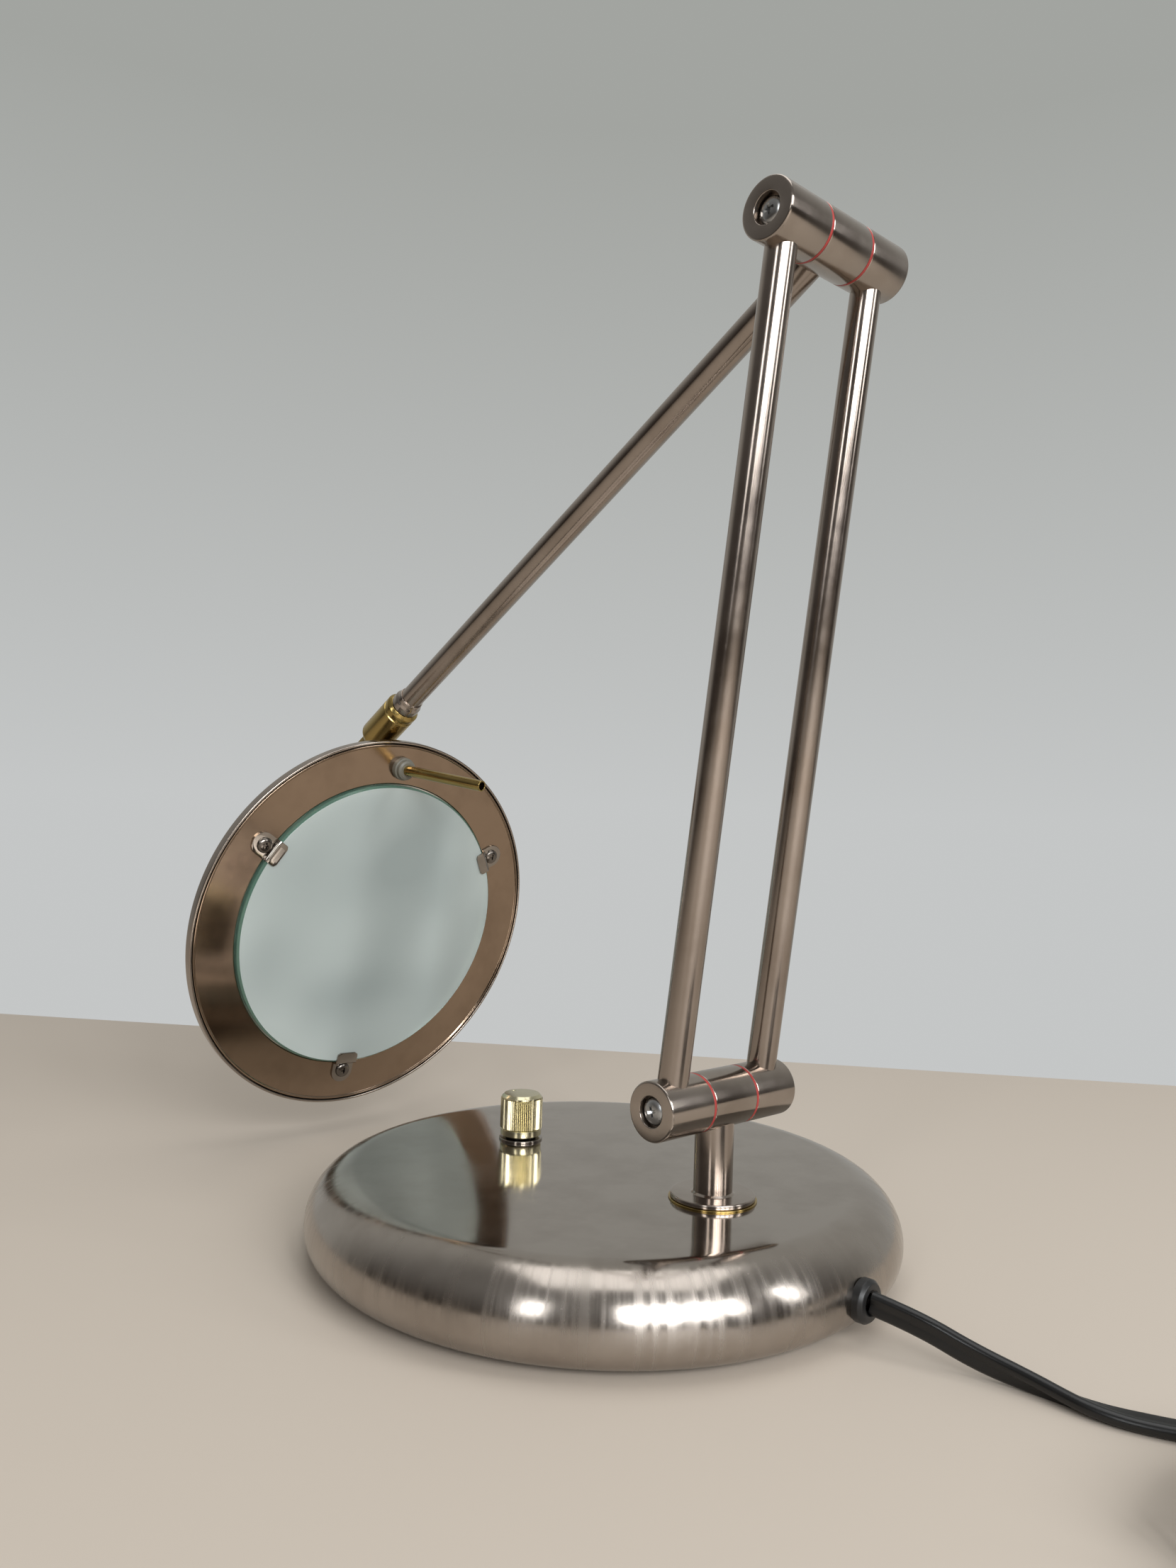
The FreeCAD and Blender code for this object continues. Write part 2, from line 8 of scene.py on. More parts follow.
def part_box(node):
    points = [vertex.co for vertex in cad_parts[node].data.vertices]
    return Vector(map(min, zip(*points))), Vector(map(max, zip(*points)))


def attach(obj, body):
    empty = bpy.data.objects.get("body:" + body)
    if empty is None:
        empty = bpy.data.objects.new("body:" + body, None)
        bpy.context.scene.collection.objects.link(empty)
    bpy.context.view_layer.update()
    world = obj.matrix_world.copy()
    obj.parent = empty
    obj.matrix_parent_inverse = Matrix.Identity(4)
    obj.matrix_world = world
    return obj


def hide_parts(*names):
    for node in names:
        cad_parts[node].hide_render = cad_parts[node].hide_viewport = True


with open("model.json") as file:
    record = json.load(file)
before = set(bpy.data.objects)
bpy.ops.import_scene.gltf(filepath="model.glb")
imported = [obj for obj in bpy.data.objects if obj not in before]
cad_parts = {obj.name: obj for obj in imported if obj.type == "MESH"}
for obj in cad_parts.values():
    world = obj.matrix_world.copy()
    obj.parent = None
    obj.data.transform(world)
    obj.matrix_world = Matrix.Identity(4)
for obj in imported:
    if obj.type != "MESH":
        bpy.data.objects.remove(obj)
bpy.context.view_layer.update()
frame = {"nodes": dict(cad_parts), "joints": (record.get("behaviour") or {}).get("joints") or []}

scene = bpy.context.scene
nodes = frame["nodes"]
joints = {joint["name"]: joint for joint in frame["joints"]}
mm = 0.001


# small helpers
def srgb(text):
    # linear colour of an sRGB hex text
    parts = [int(text[k:k + 2], 16) / 255 for k in (1, 3, 5)]
    return tuple(p / 12.92 if p <= 0.04045 else ((p + 0.055) / 1.055) ** 2.4 for p in parts) + (1.0,)


def point(values):
    return Vector(values) * mm


def turnedBy(degrees, axis):
    return Matrix.Rotation(math.radians(degrees), 4, axis)


def meshObject(name, mesh, matrix=None, sharp=35):
    # object at the origin, its place in its mesh, smooth but for edges sharper than an angle
    if matrix is not None:
        mesh.transform(matrix)
    mesh.polygons.foreach_set("use_smooth", [True] * len(mesh.polygons))
    mesh.set_sharp_from_angle(angle=math.radians(sharp))
    piece = bpy.data.objects.new(name, mesh)
    scene.collection.objects.link(piece)
    return piece


def applied(piece):
    # the piece with its modifiers made into plain mesh
    graph = bpy.context.evaluated_depsgraph_get()
    mesh = bpy.data.meshes.new_from_object(piece.evaluated_get(graph))
    piece.modifiers.clear()
    piece.data = mesh
    mesh.polygons.foreach_set("use_smooth", [True] * len(mesh.polygons))
    mesh.set_sharp_from_angle(angle=math.radians(35))
    return piece


def finishPiece(piece, body, material, replaced=()):
    piece.data.materials.clear()
    piece.data.materials.append(material)
    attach(piece, body)
    if replaced:
        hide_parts(*replaced)
    return piece


# camera: held a little above the base and looking past the head; the lens is in mm on a 36 mm sensor
view = {"place": (316.5, 283.8, 157.5), "forward": (-0.72843, -0.68488, 0.01814),
        "down": (-0.03508, 0.01085, -0.99933), "lens": 27.153}
camera = bpy.data.cameras.new("camera")
camera.sensor_width = 36
camera.sensor_fit = "AUTO"
camera.lens = view["lens"]
camera.clip_start = 0.01
cameraObject = bpy.data.objects.new("camera", camera)
scene.collection.objects.link(cameraObject)
back = -Vector(view["forward"]).normalized()
up = (-Vector(view["down"])).normalized()
right = up.cross(back).normalized()
up = back.cross(right)
axesMatrix = Matrix((right, up, back)).transposed().to_4x4()
cameraObject.matrix_world = Matrix.Translation(point(view["place"])) @ axesMatrix
scene.camera = cameraObject
print("camera set")


# materials
def newMaterial(name):
    material = bpy.data.materials.new(name)
    material.use_nodes = True
    tree = material.node_tree
    return material, tree, tree.nodes["Principled BSDF"]


def addNode(tree, kind, settings=None, **links):
    # adds a node, sets its properties, and links or sets the named inputs
    node = tree.nodes.new(kind)
    for key, value in (settings or {}).items():
        setattr(node, key, value)
    for key, value in links.items():
        socket = node.inputs[int(key[1:])] if key[0] == "_" else node.inputs[key]
        if isinstance(value, bpy.types.NodeSocket):
            tree.links.new(value, socket)
        else:
            socket.default_value = value
    return node


def setInputs(shader, values):
    for key, value in values.items():
        shader.inputs[key].default_value = value


def ramp(tree, source, stops):
    # colour ramp of (place, colour or grey) stops
    node = tree.nodes.new("ShaderNodeValToRGB")
    tree.links.new(source, node.inputs["Fac"])
    elements = node.color_ramp.elements
    while len(elements) < len(stops):
        elements.new(0.5)
    for element, (place, value) in zip(elements, stops):
        element.position = place
        element.color = value if isinstance(value, tuple) else (value, value, value, 1)
    return node


def grain(tree, coordinates, stretch, scale, detail=3):
    # noise stretched by the three factors; scale is in waves per metre
    mapped = addNode(tree, "ShaderNodeMapping", Vector=coordinates)
    mapped.inputs["Scale"].default_value = stretch
    noise = addNode(tree, "ShaderNodeTexNoise", Vector=mapped.outputs["Vector"])
    setInputs(noise, {"Scale": scale, "Detail": detail, "Roughness": 0.6})
    return noise


def metal(name, tint, rough, turned=0.0, lines=0.25, wear=0.1, shade="#5b4a3c", brushedTo=None):
    # plated or bare metal with turning or drawing lines in UV space, haze and handling marks
    material, tree, shader = newMaterial(name)
    place = addNode(tree, "ShaderNodeTexCoord")
    drawn = grain(tree, place.outputs["UV"], (40, 2500, 1), 1.0, 4)
    haze = grain(tree, place.outputs["Object"], (1, 1, 1), 45, 5)
    spots = grain(tree, place.outputs["Object"], (1, 1, 1), 420, 4)
    colour = ramp(tree, haze.outputs["Fac"], [(0.30, srgb(shade)), (0.56, srgb(tint)), (0.8, srgb(tint))])
    plain = addNode(tree, "ShaderNodeMix", {"data_type": "RGBA"}, _0=wear)
    plain.inputs[6].default_value = srgb(tint)
    tree.links.new(colour.outputs["Color"], plain.inputs[7])
    tree.links.new(plain.outputs[2], shader.inputs["Base Color"])
    dull = addNode(tree, "ShaderNodeMapRange", Value=haze.outputs["Fac"])
    setInputs(dull, {"From Min": 0.35, "From Max": 0.7, "To Min": rough * 0.8, "To Max": rough * 1.25})
    marks = addNode(tree, "ShaderNodeMapRange", Value=spots.outputs["Fac"])
    setInputs(marks, {"From Min": 0.62, "From Max": 0.8, "To Min": 0.0, "To Max": 0.05})
    total = addNode(tree, "ShaderNodeMath", {"operation": "ADD"},
                    _0=dull.outputs["Result"], _1=marks.outputs["Result"])
    if brushedTo:            # rougher and streaked up to this far along the profile, in mm
        axes = addNode(tree, "ShaderNodeSeparateXYZ", Vector=place.outputs["UV"])
        within = addNode(tree, "ShaderNodeMapRange", Value=axes.outputs["Y"])
        setInputs(within, {"From Min": (brushedTo + 6) * mm, "From Max": brushedTo * mm})
        streaks = grain(tree, place.outputs["UV"], (260, 6, 1), 1.0, 4)
        spread = addNode(tree, "ShaderNodeMapRange", Value=streaks.outputs["Fac"])
        setInputs(spread, {"From Min": 0.4, "From Max": 0.62, "To Min": 0.07, "To Max": 0.19})
        extra = addNode(tree, "ShaderNodeMath", {"operation": "MULTIPLY"},
                        _0=within.outputs["Result"], _1=spread.outputs["Result"])
        total = addNode(tree, "ShaderNodeMath", {"operation": "ADD"},
                        _0=total.outputs["Value"], _1=extra.outputs["Value"])
    tree.links.new(total.outputs["Value"], shader.inputs["Roughness"])
    bump = addNode(tree, "ShaderNodeBump", Height=drawn.outputs["Fac"])
    setInputs(bump, {"Strength": lines, "Distance": 0.00002})
    tree.links.new(bump.outputs["Normal"], shader.inputs["Normal"])
    setInputs(shader, {"Metallic": 1.0, "Anisotropic": turned, "Anisotropic Rotation": 0.25})
    if turned > 0:
        tangent = addNode(tree, "ShaderNodeTangent", {"direction_type": "UV_MAP", "uv_map": "UVMap"})
        tree.links.new(tangent.outputs["Tangent"], shader.inputs["Tangent"])
    return material


def moulded(name, tint, rough, grainSize, depth, coat=0.0):
    # moulded plastic, fibre or paint with a fine surface grain of a size in millimetres
    material, tree, shader = newMaterial(name)
    place = addNode(tree, "ShaderNodeTexCoord")
    fine = grain(tree, place.outputs["Object"], (1, 1, 1), 1 / (grainSize * mm), 3)
    broad = grain(tree, place.outputs["Object"], (1, 1, 1), 60, 4)
    dark = tuple(v * 0.72 for v in srgb(tint)[:3]) + (1,)
    colour = ramp(tree, broad.outputs["Fac"], [(0.3, dark), (0.6, srgb(tint))])
    tree.links.new(colour.outputs["Color"], shader.inputs["Base Color"])
    dull = addNode(tree, "ShaderNodeMapRange", Value=broad.outputs["Fac"])
    setInputs(dull, {"From Min": 0.3, "From Max": 0.7, "To Min": rough * 0.85, "To Max": rough * 1.15})
    tree.links.new(dull.outputs["Result"], shader.inputs["Roughness"])
    bump = addNode(tree, "ShaderNodeBump", Height=fine.outputs["Fac"])
    setInputs(bump, {"Strength": 0.5, "Distance": depth * mm})
    tree.links.new(bump.outputs["Normal"], shader.inputs["Normal"])
    shader.inputs["Coat Weight"].default_value = coat
    return material


def frostedGlass(name):
    # etched pane: milky, with soft brighter patches painted in as light from the reflector behind it, and a
    # clear green edge
    material, tree, shader = newMaterial(name)
    place = addNode(tree, "ShaderNodeTexCoord")
    # painted light: this noise lightens the milky colour in soft patches, standing for light thrown back by
    # the reflector
    paintedGlowPatches = grain(tree, place.outputs["Object"], (1, 1, 1), 17, 1)
    etch = grain(tree, place.outputs["Object"], (1, 1, 1), 2500, 2)
    colour = ramp(tree, paintedGlowPatches.outputs["Fac"], [(0.3, srgb("#a7b2b0")), (0.7, srgb("#ccd6d3"))])
    axes = addNode(tree, "ShaderNodeSeparateXYZ", Vector=place.outputs["UV"])
    edge = addNode(tree, "ShaderNodeMath", {"operation": "COMPARE"},
                   _0=axes.outputs["Y"], _1=67.7 * mm, _2=2.4 * mm)
    tinted = addNode(tree, "ShaderNodeMix", {"data_type": "RGBA"}, _0=edge.outputs["Value"])
    tree.links.new(colour.outputs["Color"], tinted.inputs[6])
    tinted.inputs[7].default_value = srgb("#93cdb6")
    tree.links.new(tinted.outputs[2], shader.inputs["Base Color"])
    for socket, face, side in (("Roughness", 0.4, 0.12), ("Transmission Weight", 0.3, 0.85)):
        blend = addNode(tree, "ShaderNodeMapRange", Value=edge.outputs["Value"])
        setInputs(blend, {"To Min": face, "To Max": side})
        tree.links.new(blend.outputs["Result"], shader.inputs[socket])
    bump = addNode(tree, "ShaderNodeBump", Height=etch.outputs["Fac"])
    setInputs(bump, {"Strength": 0.3, "Distance": 0.00003})
    tree.links.new(bump.outputs["Normal"], shader.inputs["Normal"])
    shader.inputs["IOR"].default_value = 1.5
    return material


paint = {
    # plated nickel, turned or drawn: a soft highlight stretched across the tool lines
    "nickel": metal("satinNickel", "#aaa097", 0.20, 0.7, 0.12, 0.25),
    "rodNickel": metal("drawnNickel", "#a0958c", 0.19, 0.3, 0.02, 0.25),
    # polished on top and brushed on the shoulder: a clear reflection that breaks into streaks
    "nickelTop": metal("polishedNickel", "#aca49c", 0.10, 0.75, 0.08, 0.2, brushedTo=40),
    # plain plating for meshes that have no UV map
    "forkNickel": metal("plainNickel", "#8d837a", 0.22, 0.0, 0.0, 0.25),
    # trim ring: nickel tinted brown, a painted reflection of brown surroundings that the plain stage does not
    # have
    "nickelRing": metal("ringNickelBrownReflection", "#9d8976", 0.14, 0.45, 0.06, 0.25),
    # lacquered brass, gone darker in patches; the knob is paler and cleaner
    "brass": metal("brass", "#ab945c", 0.2, 0.4, 0.05, 0.35, "#5a4a28"),
    "knobBrass": metal("paleBrass", "#d6cfae", 0.2, 0.0, 0.1, 0.25, "#8f8668"),
    # bright, zinc-plated and darkened steel: small hard highlights with a worn, uneven tone
    "steel": metal("brightSteel", "#9c958d", 0.13, 0.0, 0.1, 0.35, "#4a4038"),
    "zinc": metal("zincScrew", "#b7b8b8", 0.27, 0.0, 0.3, 0.35, "#6a6a6a"),
    "darkSteel": metal("darkenedSteel", "#77716b", 0.2, 0.0, 0.15, 0.5, "#2e2823"),
    # spun aluminium and rolled plate: pale and even
    "aluminium": metal("spunAluminium", "#e6e6e3", 0.16, 0.0, 0.1, 0.1, "#a8a8a6"),
    "plate": metal("zincPlate", "#8e8f90", 0.4, 0.0, 0.4, 0.3, "#4d4d4d"),
    # cast iron: rough and dull, with a coarse sand grain
    "iron": moulded("castIron", "#2c2a29", 0.7, 0.6, 0.1),
    # fibre washers and moulded plastics: a broad soft sheen over a fine grain
    "red": moulded("redFibre", "#a83a36", 0.45, 0.25, 0.01),
    "grey": moulded("greyPlastic", "#6b695f", 0.42, 0.2, 0.008),
    "black": moulded("blackPlastic", "#171717", 0.38, 0.2, 0.008),
    # soft vinyl lead, smoother than the mouldings
    "vinyl": moulded("blackVinyl", "#0e0e0e", 0.3, 0.35, 0.006),
    # felt: no sheen at all
    "felt": moulded("blackFelt", "#1b1b1c", 0.95, 0.35, 0.15),
    "tape": moulded("windingTape", "#b08d2e", 0.5, 0.4, 0.02),
    "ceramic": moulded("ceramic", "#d9d3c4", 0.3, 0.3, 0.006, 0.3),
    # etched glass: milky face with painted bright patches, clear green edge
    "glass": frostedGlass("frostedGlass"),
    "quartz": moulded("quartz", "#e6e9e8", 0.12, 0.5, 0.002),
    "plug": metal("platedBrass", "#cdbb86", 0.22, 0.0, 0.3, 0.2, "#6b5a36"),
}
print("materials made")


# shape tools
def rounded(points, steps=5):
    # profile with its corners rounded: a point is (r, z) or (r, z, corner radius)
    out = []
    count = len(points)
    for k, corner in enumerate(points):
        here = Vector(corner[:2])
        if len(corner) < 3 or k in (0, count - 1):
            out.append(here)
            continue
        before = (Vector(points[k - 1][:2]) - here)
        after = (Vector(points[k + 1][:2]) - here)
        turn = before.angle(after)
        reach = min(corner[2] / math.tan(turn / 2), before.length * 0.49, after.length * 0.49)
        start = here + before.normalized() * reach
        end = here + after.normalized() * reach
        for n in range(steps + 1):
            t = n / steps
            out.append(start * (1 - t) ** 2 + here * 2 * t * (1 - t) + end * t * t)
    return out


def quarterCurve(start, end, corner, steps=16):
    # quarter ellipse from start to end, bulging to the corner
    out = []
    for n in range(steps + 1):
        a = n / steps * math.pi / 2
        out.append(Vector((start[k] + (corner[k] - start[k]) * math.sin(a) +
                           (end[k] - corner[k]) * (1 - math.cos(a))) for k in (0, 1)))
    return out


def lathe(profile, segments=96):
    # mesh turned about Z of an (r, z) profile in mm, with UVs in metres around and along it
    mesh = bpy.data.meshes.new("turned")
    shape = bmesh.new()
    uvLayer = shape.loops.layers.uv.new("UVMap")
    rows = []
    for r, z in profile:
        if r < 1e-4:
            rows.append([shape.verts.new((0, 0, z * mm))])
            continue
        rows.append([shape.verts.new((r * mm * math.cos(2 * math.pi * k / segments),
                                      r * mm * math.sin(2 * math.pi * k / segments), z * mm))
                     for k in range(segments)])
    widest = max(r for r, z in profile) * mm
    distance = 0
    for n in range(len(rows) - 1):
        low, high = rows[n], rows[n + 1]
        step = (Vector(profile[n + 1]) - Vector(profile[n])).length * mm
        if len(low) == 1 and len(high) == 1:
            continue
        for k in range(segments):
            nextK = (k + 1) % segments
            corners = [(low[k % len(low)], k, 0), (low[nextK % len(low)], k + 1, 0),
                       (high[nextK % len(high)], k + 1, 1), (high[k % len(high)], k, 1)]
            if len(low) == 1:
                corners.pop(1)
            if len(high) == 1:
                corners.pop(2)
            face = shape.faces.new([c[0] for c in corners])
            for loop, (_, turn, side) in zip(face.loops, corners):
                loop[uvLayer].uv = (turn / segments * 2 * math.pi * widest, distance + side * step)
        distance += step
    bmesh.ops.recalc_face_normals(shape, faces=shape.faces)
    shape.to_mesh(mesh)
    shape.free()
    return mesh


def plateMesh(outline, thickness, bevel=0.2):
    # flat plate in XY of an outline in mm, from z 0 up, with its edges bevelled
    shape = bmesh.new()
    base = [shape.verts.new((x * mm, y * mm, 0)) for x, y in outline]
    face = shape.faces.new(base)
    raised = bmesh.ops.extrude_face_region(shape, geom=[face])["geom"]
    bmesh.ops.translate(shape, vec=(0, 0, thickness * mm),
                        verts=[g for g in raised if isinstance(g, bmesh.types.BMVert)])
    bmesh.ops.recalc_face_normals(shape, faces=shape.faces)
    edges = [e for e in shape.edges if e.calc_face_angle(0) > 0.7]
    if bevel:
        bmesh.ops.bevel(shape, geom=edges, offset=bevel * mm, segments=2, profile=0.5, affect="EDGES")
    mesh = bpy.data.meshes.new("plate")
    shape.to_mesh(mesh)
    shape.free()
    return mesh


def carve(piece, cutter):
    # cuts one mesh out of a piece
    tool = bpy.data.objects.new("tool", cutter)
    scene.collection.objects.link(tool)
    cut = piece.modifiers.new("cut", "BOOLEAN")
    cut.operation = "DIFFERENCE"
    cut.solver = "EXACT"
    cut.object = tool
    applied(piece)
    bpy.data.objects.remove(tool)
    return piece


def arc(centre, r, start, end, steps):
    # points on an arc in mm, angles in degrees
    out = []
    for n in range(steps + 1):
        a = math.radians(start + (end - start) * n / steps)
        out.append((centre[0] + r * math.cos(a), centre[1] + r * math.sin(a)))
    return out


def joined(meshes, name):
    shape = bmesh.new()
    for mesh in meshes:
        shape.from_mesh(mesh)
    out = bpy.data.meshes.new(name)
    shape.to_mesh(out)
    shape.free()
    return out


# places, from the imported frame
armTurn = turnedBy(-4.0, "Z")
hingeLow = Vector(joints["lower_tilt"]["pos_m"])
hingeHigh = Vector(joints["upper_tilt"]["pos_m"])
knuckle = Vector(joints["head_tilt"]["pos_m"])
postFoot = Vector(joints["post_swivel"]["pos_m"])
upperAxis = Vector(joints["head_swivel"]["axis"])
glassLow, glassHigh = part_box("glass")
headTurn = -102.7
headTilt = armTurn @ turnedBy(headTurn, "X")
glassMiddle = 0.2 * mm                      # the pane's middle lies this far behind the rim's face
headCentre = (glassLow + glassHigh) / 2 + headTilt @ Vector((0, 0, glassMiddle))
headPlace = Matrix.Translation(headCentre) @ headTilt
lowerLean = math.degrees(math.asin((hingeHigh - hingeLow).to_2d().length / (hingeHigh - hingeLow).length))
lowerPlace = Matrix.Translation(hingeLow) @ armTurn @ turnedBy(-lowerLean, "X")
upperLean = math.degrees(math.acos(upperAxis.z))
upperPlace = Matrix.Translation(hingeHigh) @ armTurn @ turnedBy(upperLean, "X")
postPlace = Matrix.Translation((postFoot.x, postFoot.y, 0)) @ armTurn
ringTurn = -2.7


def aroundHead(radius, azimuth, height):
    # place on the head's face, azimuth in degrees from the knuckle towards +X, +Z outwards
    return headPlace @ turnedBy(azimuth + ringTurn, "Z") @ Matrix.Translation(point((0, -radius, height)))


# mains cord
cord = {
    "length": 1.8, "width": 7.2, "thickness": 3.7, "wire": 1.85, "web": 1.3,
    "route": [(-1.5, 106.9, 12.9), (-3.2, 121.0, 11.2), (-6.6, 137.0, 5.6), (-9.0, 154.0, 3.0),
              (-8.0, 171.0, 2.1), (-13.0, 187.0, 2.1), (-21.0, 204.0, 2.6), (-25.6, 223.0, 3.7)],
    "tail": [(26.0, 297.9, 10.6), (43.0, 298.4, 8.0), (57.5, 292.2, 6.2), (68.0, 283.2, 6.6)],
    "middle": (18.0, 253.0), "outer": 46.0, "inner": 34.1, "turns": 6, "start": 195.1, "end": 79.7,
    "perTurn": 24, "low": 3.7, "high": 11.2, "flatFrom": 26, "flatTo": 78,
}


def coilPoints(facts):
    # control points of the coil: inwards on the floor, then outwards on top, clockwise
    whole = facts["turns"] + (facts["start"] - facts["end"]) / 360
    count = round(whole * facts["perTurn"])
    shrink = 0.5 + 0.5 * math.cos(math.pi / facts["perTurn"])
    out = []
    for n in range(2, count):
        share = n / count
        inwards = 1 - abs(2 * share - 1)
        radius = (facts["outer"] - (facts["outer"] - facts["inner"]) * inwards) / shrink
        climb = min(max((share - 0.475) / 0.05, 0), 1)
        height = facts["low"] + (facts["high"] - facts["low"]) * climb * climb * (3 - 2 * climb)
        a = math.radians(facts["start"] - 360 * whole * share)
        x, y = facts["middle"]
        out.append((x + radius * math.cos(a), y + radius * math.sin(a), height))
    return out


def splineLine(controls):
    # points along the smooth NURBS line of these control points, in metres
    curve = bpy.data.curves.new("cordLine", "CURVE")
    curve.dimensions = "3D"
    spline = curve.splines.new("NURBS")
    spline.points.add(len(controls) - 1)
    for place, control in zip(spline.points, controls):
        place.co = tuple(v * mm for v in control) + (1,)
    spline.order_u = 3
    spline.use_endpoint_u = True
    spline.resolution_u = 8
    line = bpy.data.objects.new("cordLine", curve)
    scene.collection.objects.link(line)
    graph = bpy.context.evaluated_depsgraph_get()
    mesh = bpy.data.meshes.new_from_object(line.evaluated_get(graph))
    out = [v.co.copy() for v in mesh.vertices]
    bpy.data.objects.remove(line)
    bpy.data.meshes.remove(mesh)
    return out


def twinSection(facts, steps=7):
    # outline of a flat twin cord, wide along X: two wires and the web between them
    offset = facts["width"] / 2 - facts["wire"]
    out = []
    for side, start in ((1, -90), (-1, 90)):
        for x, y in arc((side * offset, 0), facts["wire"], start, start + 180, steps):
            out.append((x, y))
        out.append((side * 0.35, (1 if side > 0 else -1) * facts["web"]))
        out.append((-side * 0.35, (1 if side > 0 else -1) * facts["web"]))
    return out


def twinCord(facts):
    line = splineLine(facts["route"] + coilPoints(facts) + facts["tail"])
    section = twinSection(facts)
    travelled = [0.0]
    for before, after in zip(line, line[1:]):
        travelled.append(travelled[-1] + (after - before).length)
    total = travelled[-1]
    print("cord length", round(total, 3))
    shape = bmesh.new()
    uvLayer = shape.loops.layers.uv.new("UVMap")
    rings = []
    for n, here in enumerate(line):
        tangent = (line[min(n + 1, len(line) - 1)] - line[max(n - 1, 0)]).normalized()
        side = tangent.cross(Vector((0, 0, 1))).normalized()
        over = side.cross(tangent)
        s = travelled[n] / mm
        flat = min(max((s - facts["flatFrom"]) / (facts["flatTo"] - facts["flatFrom"]), 0), 1)
        edge = min(max((s - 96) / 40, 0), 1)
        stand = 1 - flat * flat * (3 - 2 * flat) + edge * edge * (3 - 2 * edge)
        lay = min(max((total / mm - s - 4) / 26, 0), 1)
        angle = math.radians(90) * stand * lay * lay * (3 - 2 * lay)
        wide = side * math.cos(angle) + over * math.sin(angle)
        thick = wide.cross(tangent)
        rings.append([shape.verts.new(here + (wide * x + thick * y) * mm) for x, y in section])
    count = len(section)
    for n in range(len(rings) - 1):
        for k in range(count):
            face = shape.faces.new((rings[n][k], rings[n][(k + 1) % count],
                                    rings[n + 1][(k + 1) % count], rings[n + 1][k]))
            for loop, (u, v) in zip(face.loops, ((k, n), (k + 1, n), (k + 1, n + 1), (k, n + 1))):
                loop[uvLayer].uv = (u / count * 0.02, travelled[v])
    shape.faces.new(list(reversed(rings[0])))
    shape.faces.new(rings[-1])
    bmesh.ops.recalc_face_normals(shape, faces=shape.faces)
    mesh = bpy.data.meshes.new("mainsCord")
    shape.to_mesh(mesh)
    shape.free()
    return meshObject("mainsCord", mesh, None, 60), line


cordPiece, cordLine = twinCord(cord)
finishPiece(cordPiece, "base", paint["vinyl"], ("cord_lead", "cord_coil", "cord_tail"))
print("cord made")


# base
base = {"radius": 103.9, "top": 29.6, "flat": 87.0, "widest": 13.0, "foot": 93.0, "lip": 1.5, "wall": 1.2}
baseLine = [(base["foot"] - base["wall"], 4.0), (base["foot"] - base["wall"], base["lip"])]
baseLine += quarterCurve((base["foot"], base["lip"]), (base["radius"], base["widest"]),
                         (base["radius"], base["lip"]))
baseLine += quarterCurve((base["radius"], base["widest"]), (base["flat"], base["top"]),
                         (base["radius"], base["top"]), 28)[1:]
baseLine += [(r, base["top"]) for r in (80, 60, 40, 20, 0)]
basePiece = meshObject("baseShell", lathe(baseLine, 256), None, 50)
finishPiece(basePiece, "base", paint["nickelTop"], ("base_shell",))

keptNodes = {"base_pad": "felt", "base_plate": "plate", "ballast_ring": "iron", "transformer_core": "iron",
             "transformer_winding": "tape", "dimmer": "black", "dimmer_shaft": "steel", "post_nut": "steel",
             "swivel_pin": "steel", "tilt_fork": "forkNickel", "reflector": "aluminium",
             "lamp_holder": "ceramic", "lamp_capsule": "quartz", "swivel_grub": "steel"}
for nodeName, paintName in keptNodes.items():
    nodes[nodeName].material_slots[0].material = paint[paintName]
print("base made")


# screws
def panScrew(radius, height, shank, length):
    dome = [(0, height), (radius * 0.35, height * 0.985), (radius * 0.62, height * 0.9),
            (radius * 0.84, height * 0.72), (radius * 0.96, height * 0.48), (radius, height * 0.25),
            (radius, height * 0.05), (radius - 0.1, 0), (shank, 0), (shank, -length), (0, -length)]
    screw = meshObject("screw", lathe(dome, 48))
    arms = []
    for turn in (0, 90):
        wide, long = radius * 0.13, radius * 0.56
        arm = plateMesh([(-long, -wide), (long, -wide), (long, wide), (-long, wide)], height, 0)
        for v in arm.vertices:                              # tapers down to the recess's foot
            if v.co.z < height * mm / 2:
                v.co.x *= 0.35
                v.co.y *= 0.55
        arm.transform(turnedBy(turn, "Z"))
        arms.append(arm)
    for arm in arms:
        arm.transform(Matrix.Translation((0, 0, height * 0.42 * mm)))
        carve(screw, arm)
    mesh = screw.data
    bpy.data.objects.remove(screw)
    return mesh


def placedScrew(name, mesh, matrix, body, material, replaced):
    piece = meshObject(name, mesh.copy(), matrix)
    return finishPiece(piece, body, material, replaced)


alongX = turnedBy(90, "Y")
plateScrew = panScrew(3.2, 1.3, 1.5, 8)
for n in (1, 2, 3):
    low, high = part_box(f"plate_screw_{n}")
    middle = (low + high) / 2
    place = Matrix.Translation((middle.x, middle.y, base["lip"] * mm)) @ turnedBy(180, "X")
    placedScrew(f"plateScrew{n}", plateScrew, place, "base", paint["steel"], (f"plate_screw_{n}",))


# knob: straight knurling from Geometry Nodes
knob = {"radius": 7.55, "foot": 31.0, "knurlFrom": 34.2, "knurlTo": 45.2, "top": 46.8, "flutes": 64,
        "ridge": 0.44}


